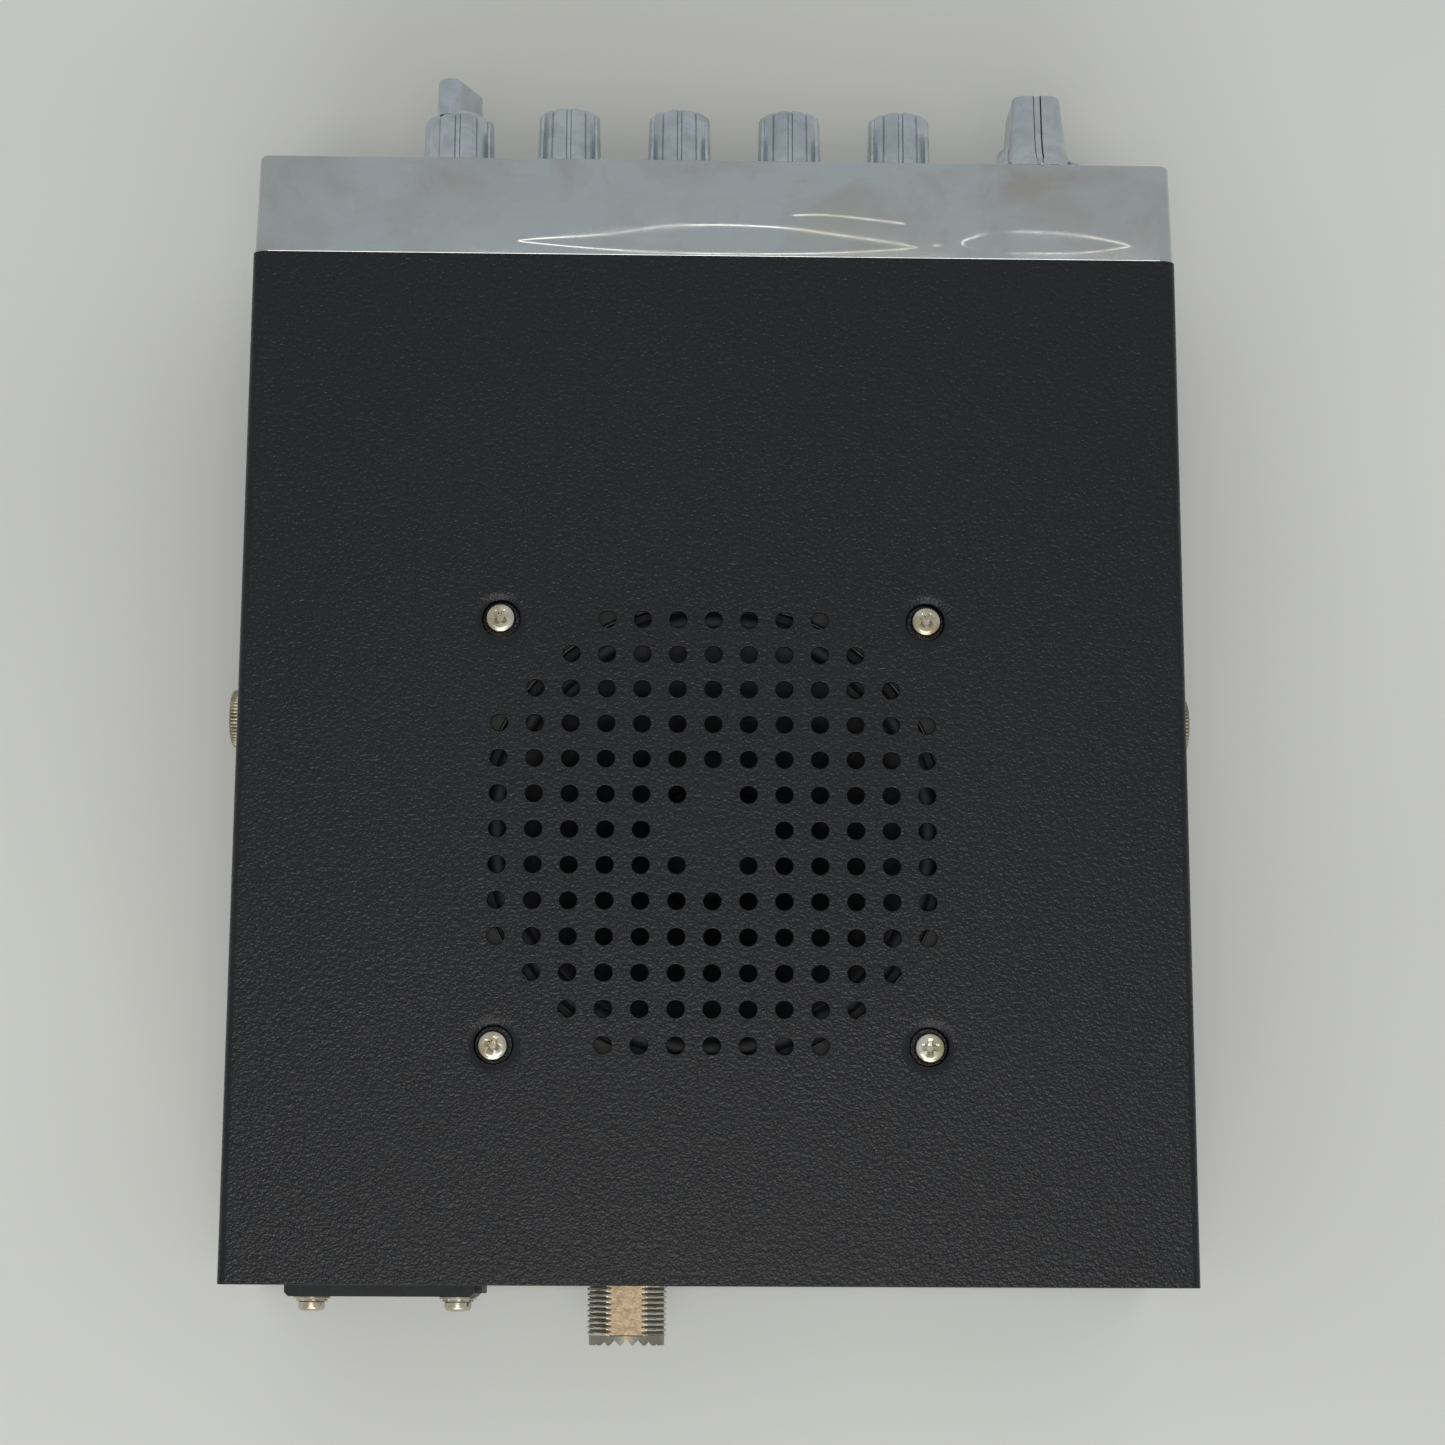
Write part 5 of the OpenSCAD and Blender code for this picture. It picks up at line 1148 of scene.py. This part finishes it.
def makeRow(name, node, shape, count, lens):
    step = displays["rowSpan"] / count
    start = (middleOf(node)[0] - (count - 1) / 2 * step, nodeBox(node)[0][1] + 0.75, middleOf("display_windows")[2])
    mesh = grown(name, bpy.data.meshes.new(name), displayRow, {"Count": count, "Step": (step * mm, 0, 0),
                 "Start": [c * mm for c in start], "Shape": hiddenShape(name + "Shape", shape), "Lens": lens})
    asPiece(name, mesh, None, "chassis", "lamp_plastic")


makeRow("frequencyFigures", "frequency_display", figureMesh(), displays["figures"], digitGreen)
makeRow("meterBars", "meter_display", barMesh(), displays["bars"], barAmber)
softened("frequency_display", 0.1, modulePlastic, "module_plastic")
softened("meter_display", 0.1, modulePlastic, "module_plastic")
softened("display_windows", 0.25, smoke, "window_tint", 3)
softened("status_lamps", 0.05, lampRed, "lamp_plastic")
print("displays done")


# marks on the front plate: plain ticks round each control

ticks = dict(count=11, sweep=300, inner=8.4, length=1.5, width=0.4, thick=0.06, channelCount=24, channelInner=13.2)


def tickTree():   # ticks spread over an arc round a shaft
    tree, given = newTree("dialTicks", Int=["Count"], Float=["Sweep", "Radius"], Vector=["Centre"], Object=["Tick"],
                          Material=["Ink"])
    calc = calculator(tree)
    line = addNode(tree, "GeometryNodeMeshLine", {"Count": given["Count"]}, mode="OFFSET")
    index = addNode(tree, "GeometryNodeInputIndex").outputs[0]
    share = calc("DIVIDE", index, calc("SUBTRACT", given["Count"], 1.0))
    angle = calc("MULTIPLY", calc("SUBTRACT", share, 0.5), given["Sweep"])
    x, z = (calc("MULTIPLY", calc(kind, angle), given["Radius"]) for kind in ("SINE", "COSINE"))
    offset = addNode(tree, "ShaderNodeCombineXYZ", {0: x, 2: z})
    spot = addNode(tree, "ShaderNodeVectorMath", {0: offset, 1: given["Centre"]}, operation="ADD")
    spots = addNode(tree, "GeometryNodeSetPosition", {0: line, "Position": spot})
    turn = addNode(tree, "ShaderNodeCombineXYZ", {1: angle})
    placed = shapeAtPoints(tree, spots, given["Tick"], Rotation=turn)
    endTree(tree, placed, given["Ink"])
    return tree


def makeTicks():
    w, l, t, dialTicks = ticks["width"] / 2, ticks["length"] / 2, ticks["thick"], tickTree()
    outline = [[(-w, y, -l), (w, y, -l), (w, y, l), (-w, y, l)] for y in (-t, 0)]
    shape = hiddenShape("tickShape", meshOfShells("tick", [outline]))
    plateFront = nodeBox("front_plate")[0][1]
    dials = [(name, ticks["count"], ticks["inner"], ticks["sweep"])
             for name in ("rf_gain_ring", "squelch_knob", "mic_gain_knob", "power_knob", "clarifier_knob")]
    for node, count, inner, sweep in dials + [("channel_knob", ticks["channelCount"] + 1, ticks["channelInner"], 360)]:
        x, _, z = middleOf(node)
        mesh = grown(node + "_ticks", bpy.data.meshes.new(node), dialTicks, {"Count": count, "Sweep": radians(sweep),
                     "Radius": (inner + l) * mm, "Centre": (x * mm, plateFront * mm, z * mm), "Tick": shape,
                     "Ink": ink})
        asPiece(node + "_ticks", mesh, None, "chassis", "plate_black")


makeTicks()
softened("front_plate", 0.12, frontPlate, "plate_black")
softened("mic_jack", 0.25, screwNickel, "nickel", 3)
softened("mic_jack_insert", 0.15, blackNylon, "black_nylon")
softened("toggle_nuts", 0.15, screwNickel, "nickel")
softened("toggle_bodies", 0.12, phenolic, "switch_phenolic")
for n in range(1, 5):
    softened("toggle_lever_" + str(n), 0.1, screwNickel, "nickel", body="lever_" + str(n))
print("front done")


# the back: plates and sockets with their edges eased

softened("side_rails", 0.15, zincSteel, "zinc_steel")
softened("rear_panel", 0.2, zincSteel, "zinc_steel")
softened("heat_plate", 0.3, anodised, "black_anodised", 3)
softened("power_socket", 0.4, blackNylon, "black_nylon", 3)
softened("speaker_jacks", 0.12, blackNylon, "black_nylon")
softened("antenna_insulator", 0.2, ptfe, "insulator")
softened("antenna_contact", 0.15, gilt, "contact_silver")
print("back done")


# finishes for the parts kept as they are, most of them inside

kept = {zincSteel: ["front_subpanel"], board: ["main_board", "display_board"], tinned: ["shield_cans"],
        partPlastic: ["board_parts", "power_transistors"], bareAlloy: ["heat_bar"], wireCover: ["wiring"],
        screwNickel: ["chassis_screws", "control_nuts"], potMetal: ["control_pots"], phenolic: ["channel_switch"],
        ferrite: ["speaker_magnet"], gilt: ["power_pins"],
        shaftMetal: [name for name in nodes if name.endswith("_shaft")]}
for material, names in kept.items():
    for name in names:
        mesh = nodes[name].data
        mesh.materials.clear()
        mesh.materials.append(material)
print("inner parts finished")


# a plain pale floor, soft light from above, and the camera

stage = dict(floorWidth=5200, floorSteps=24, floor="#d0cfc8", floorDark="#c7c6c0", backdrop="#c1c4c5",
             sky="#d5d9dc", skyStrength=1.0, camera=(10.410, 102.713, 629.074), turn=(10.8396, -1.2758, -179.7638),
             lens=73.495)


def paleFloor():
    # matt laid vinyl, pale warm grey, with broad soft undulations
    material, tree, shader, place = newMaterial("paleVinylFloor", stage["floor"], 0.7)
    waves = grain(tree, place, 160, 2.0, 0.5)
    tinted(tree, shader, spread(tree, waves, 0.35, 0.65), stage["floor"], stage["floorDark"])
    bumped(tree, shader, grain(tree, place, 45, 3.0, 0.5), 0.25, 0.8)
    return material


def makeFloor():
    half, z, steps = stage["floorWidth"] / 2, -0.25, stage["floorSteps"]
    marks = [(2 * i / steps - 1) * half for i in range(steps + 1)]
    row = steps + 1
    faces = [(i * row + j, (i + 1) * row + j, (i + 1) * row + j + 1, i * row + j + 1)
             for i in range(steps) for j in range(steps)]
    floor = bpy.data.objects.new("floor", meshOf("floor", [(x, y, z) for x in marks for y in marks], faces))
    floor.data.materials.append(paleFloor())
    scene.collection.objects.link(floor)


def makeWorld():   # one even sky for light, and a pale backdrop where the camera, gloss and glass see it
    world = bpy.data.worlds.new("studio")
    scene.world = world
    world.use_nodes = True
    tree = world.node_tree
    tree.nodes.clear()
    calc = calculator(tree)
    seen = addNode(tree, "ShaderNodeLightPath").outputs
    either = calc("MAXIMUM", calc("MAXIMUM", seen["Is Camera Ray"], seen["Is Glossy Ray"]), seen["Is Transmission Ray"])
    color = blendColors(tree, either, stage["sky"], stage["backdrop"])
    sky = addNode(tree, "ShaderNodeBackground", {"Color": color, "Strength": stage["skyStrength"]})
    addNode(tree, "ShaderNodeOutputWorld", {0: sky})


def addLamp(name, place, target, width, depth, watts, color="#ffffff"):
    lamp = bpy.data.lights.new(name, "AREA")
    lamp.shape = "RECTANGLE"
    lamp.size, lamp.size_y = width * mm, depth * mm
    lamp.energy = watts
    lamp.color = hexColor(color)[:3]
    holder = bpy.data.objects.new(name, lamp)
    holder.location = Vector(place) * mm
    holder.rotation_euler = (Vector(target) - Vector(place)).to_track_quat("-Z", "Y").to_euler()
    scene.collection.objects.link(holder)


def makeCamera():
    camera = bpy.data.objects.new("camera", bpy.data.cameras.new("camera"))
    camera.data.lens = stage["lens"]
    camera.data.sensor_width = 36
    camera.data.clip_start = 0.01
    camera.location = Vector(stage["camera"]) * mm
    camera.rotation_euler = [radians(a) for a in stage["turn"]]
    scene.collection.objects.link(camera)
    scene.camera = camera


makeFloor()
makeWorld()
addLamp("softboxAbove", (0, 650, 2000), (0, 60, 0), 900, 600, 8, "#fffaf2")
addLamp("windowBehind", (0, 2000, 1300), (0, 0, 0), 2000, 900, 19, "#f6faff")
addLamp("stripInFront", (-30, -869, 1955), (-30, -100, 50), 420, 18, 0.047, "#fff6e8")
addLamp("shortStripInFront", (-371, -869, 1955), (-371, -100, 50), 138, 18, 0.0155, "#fff6e8")
makeCamera()
scene.view_settings.view_transform = "Standard"
print("stage set")
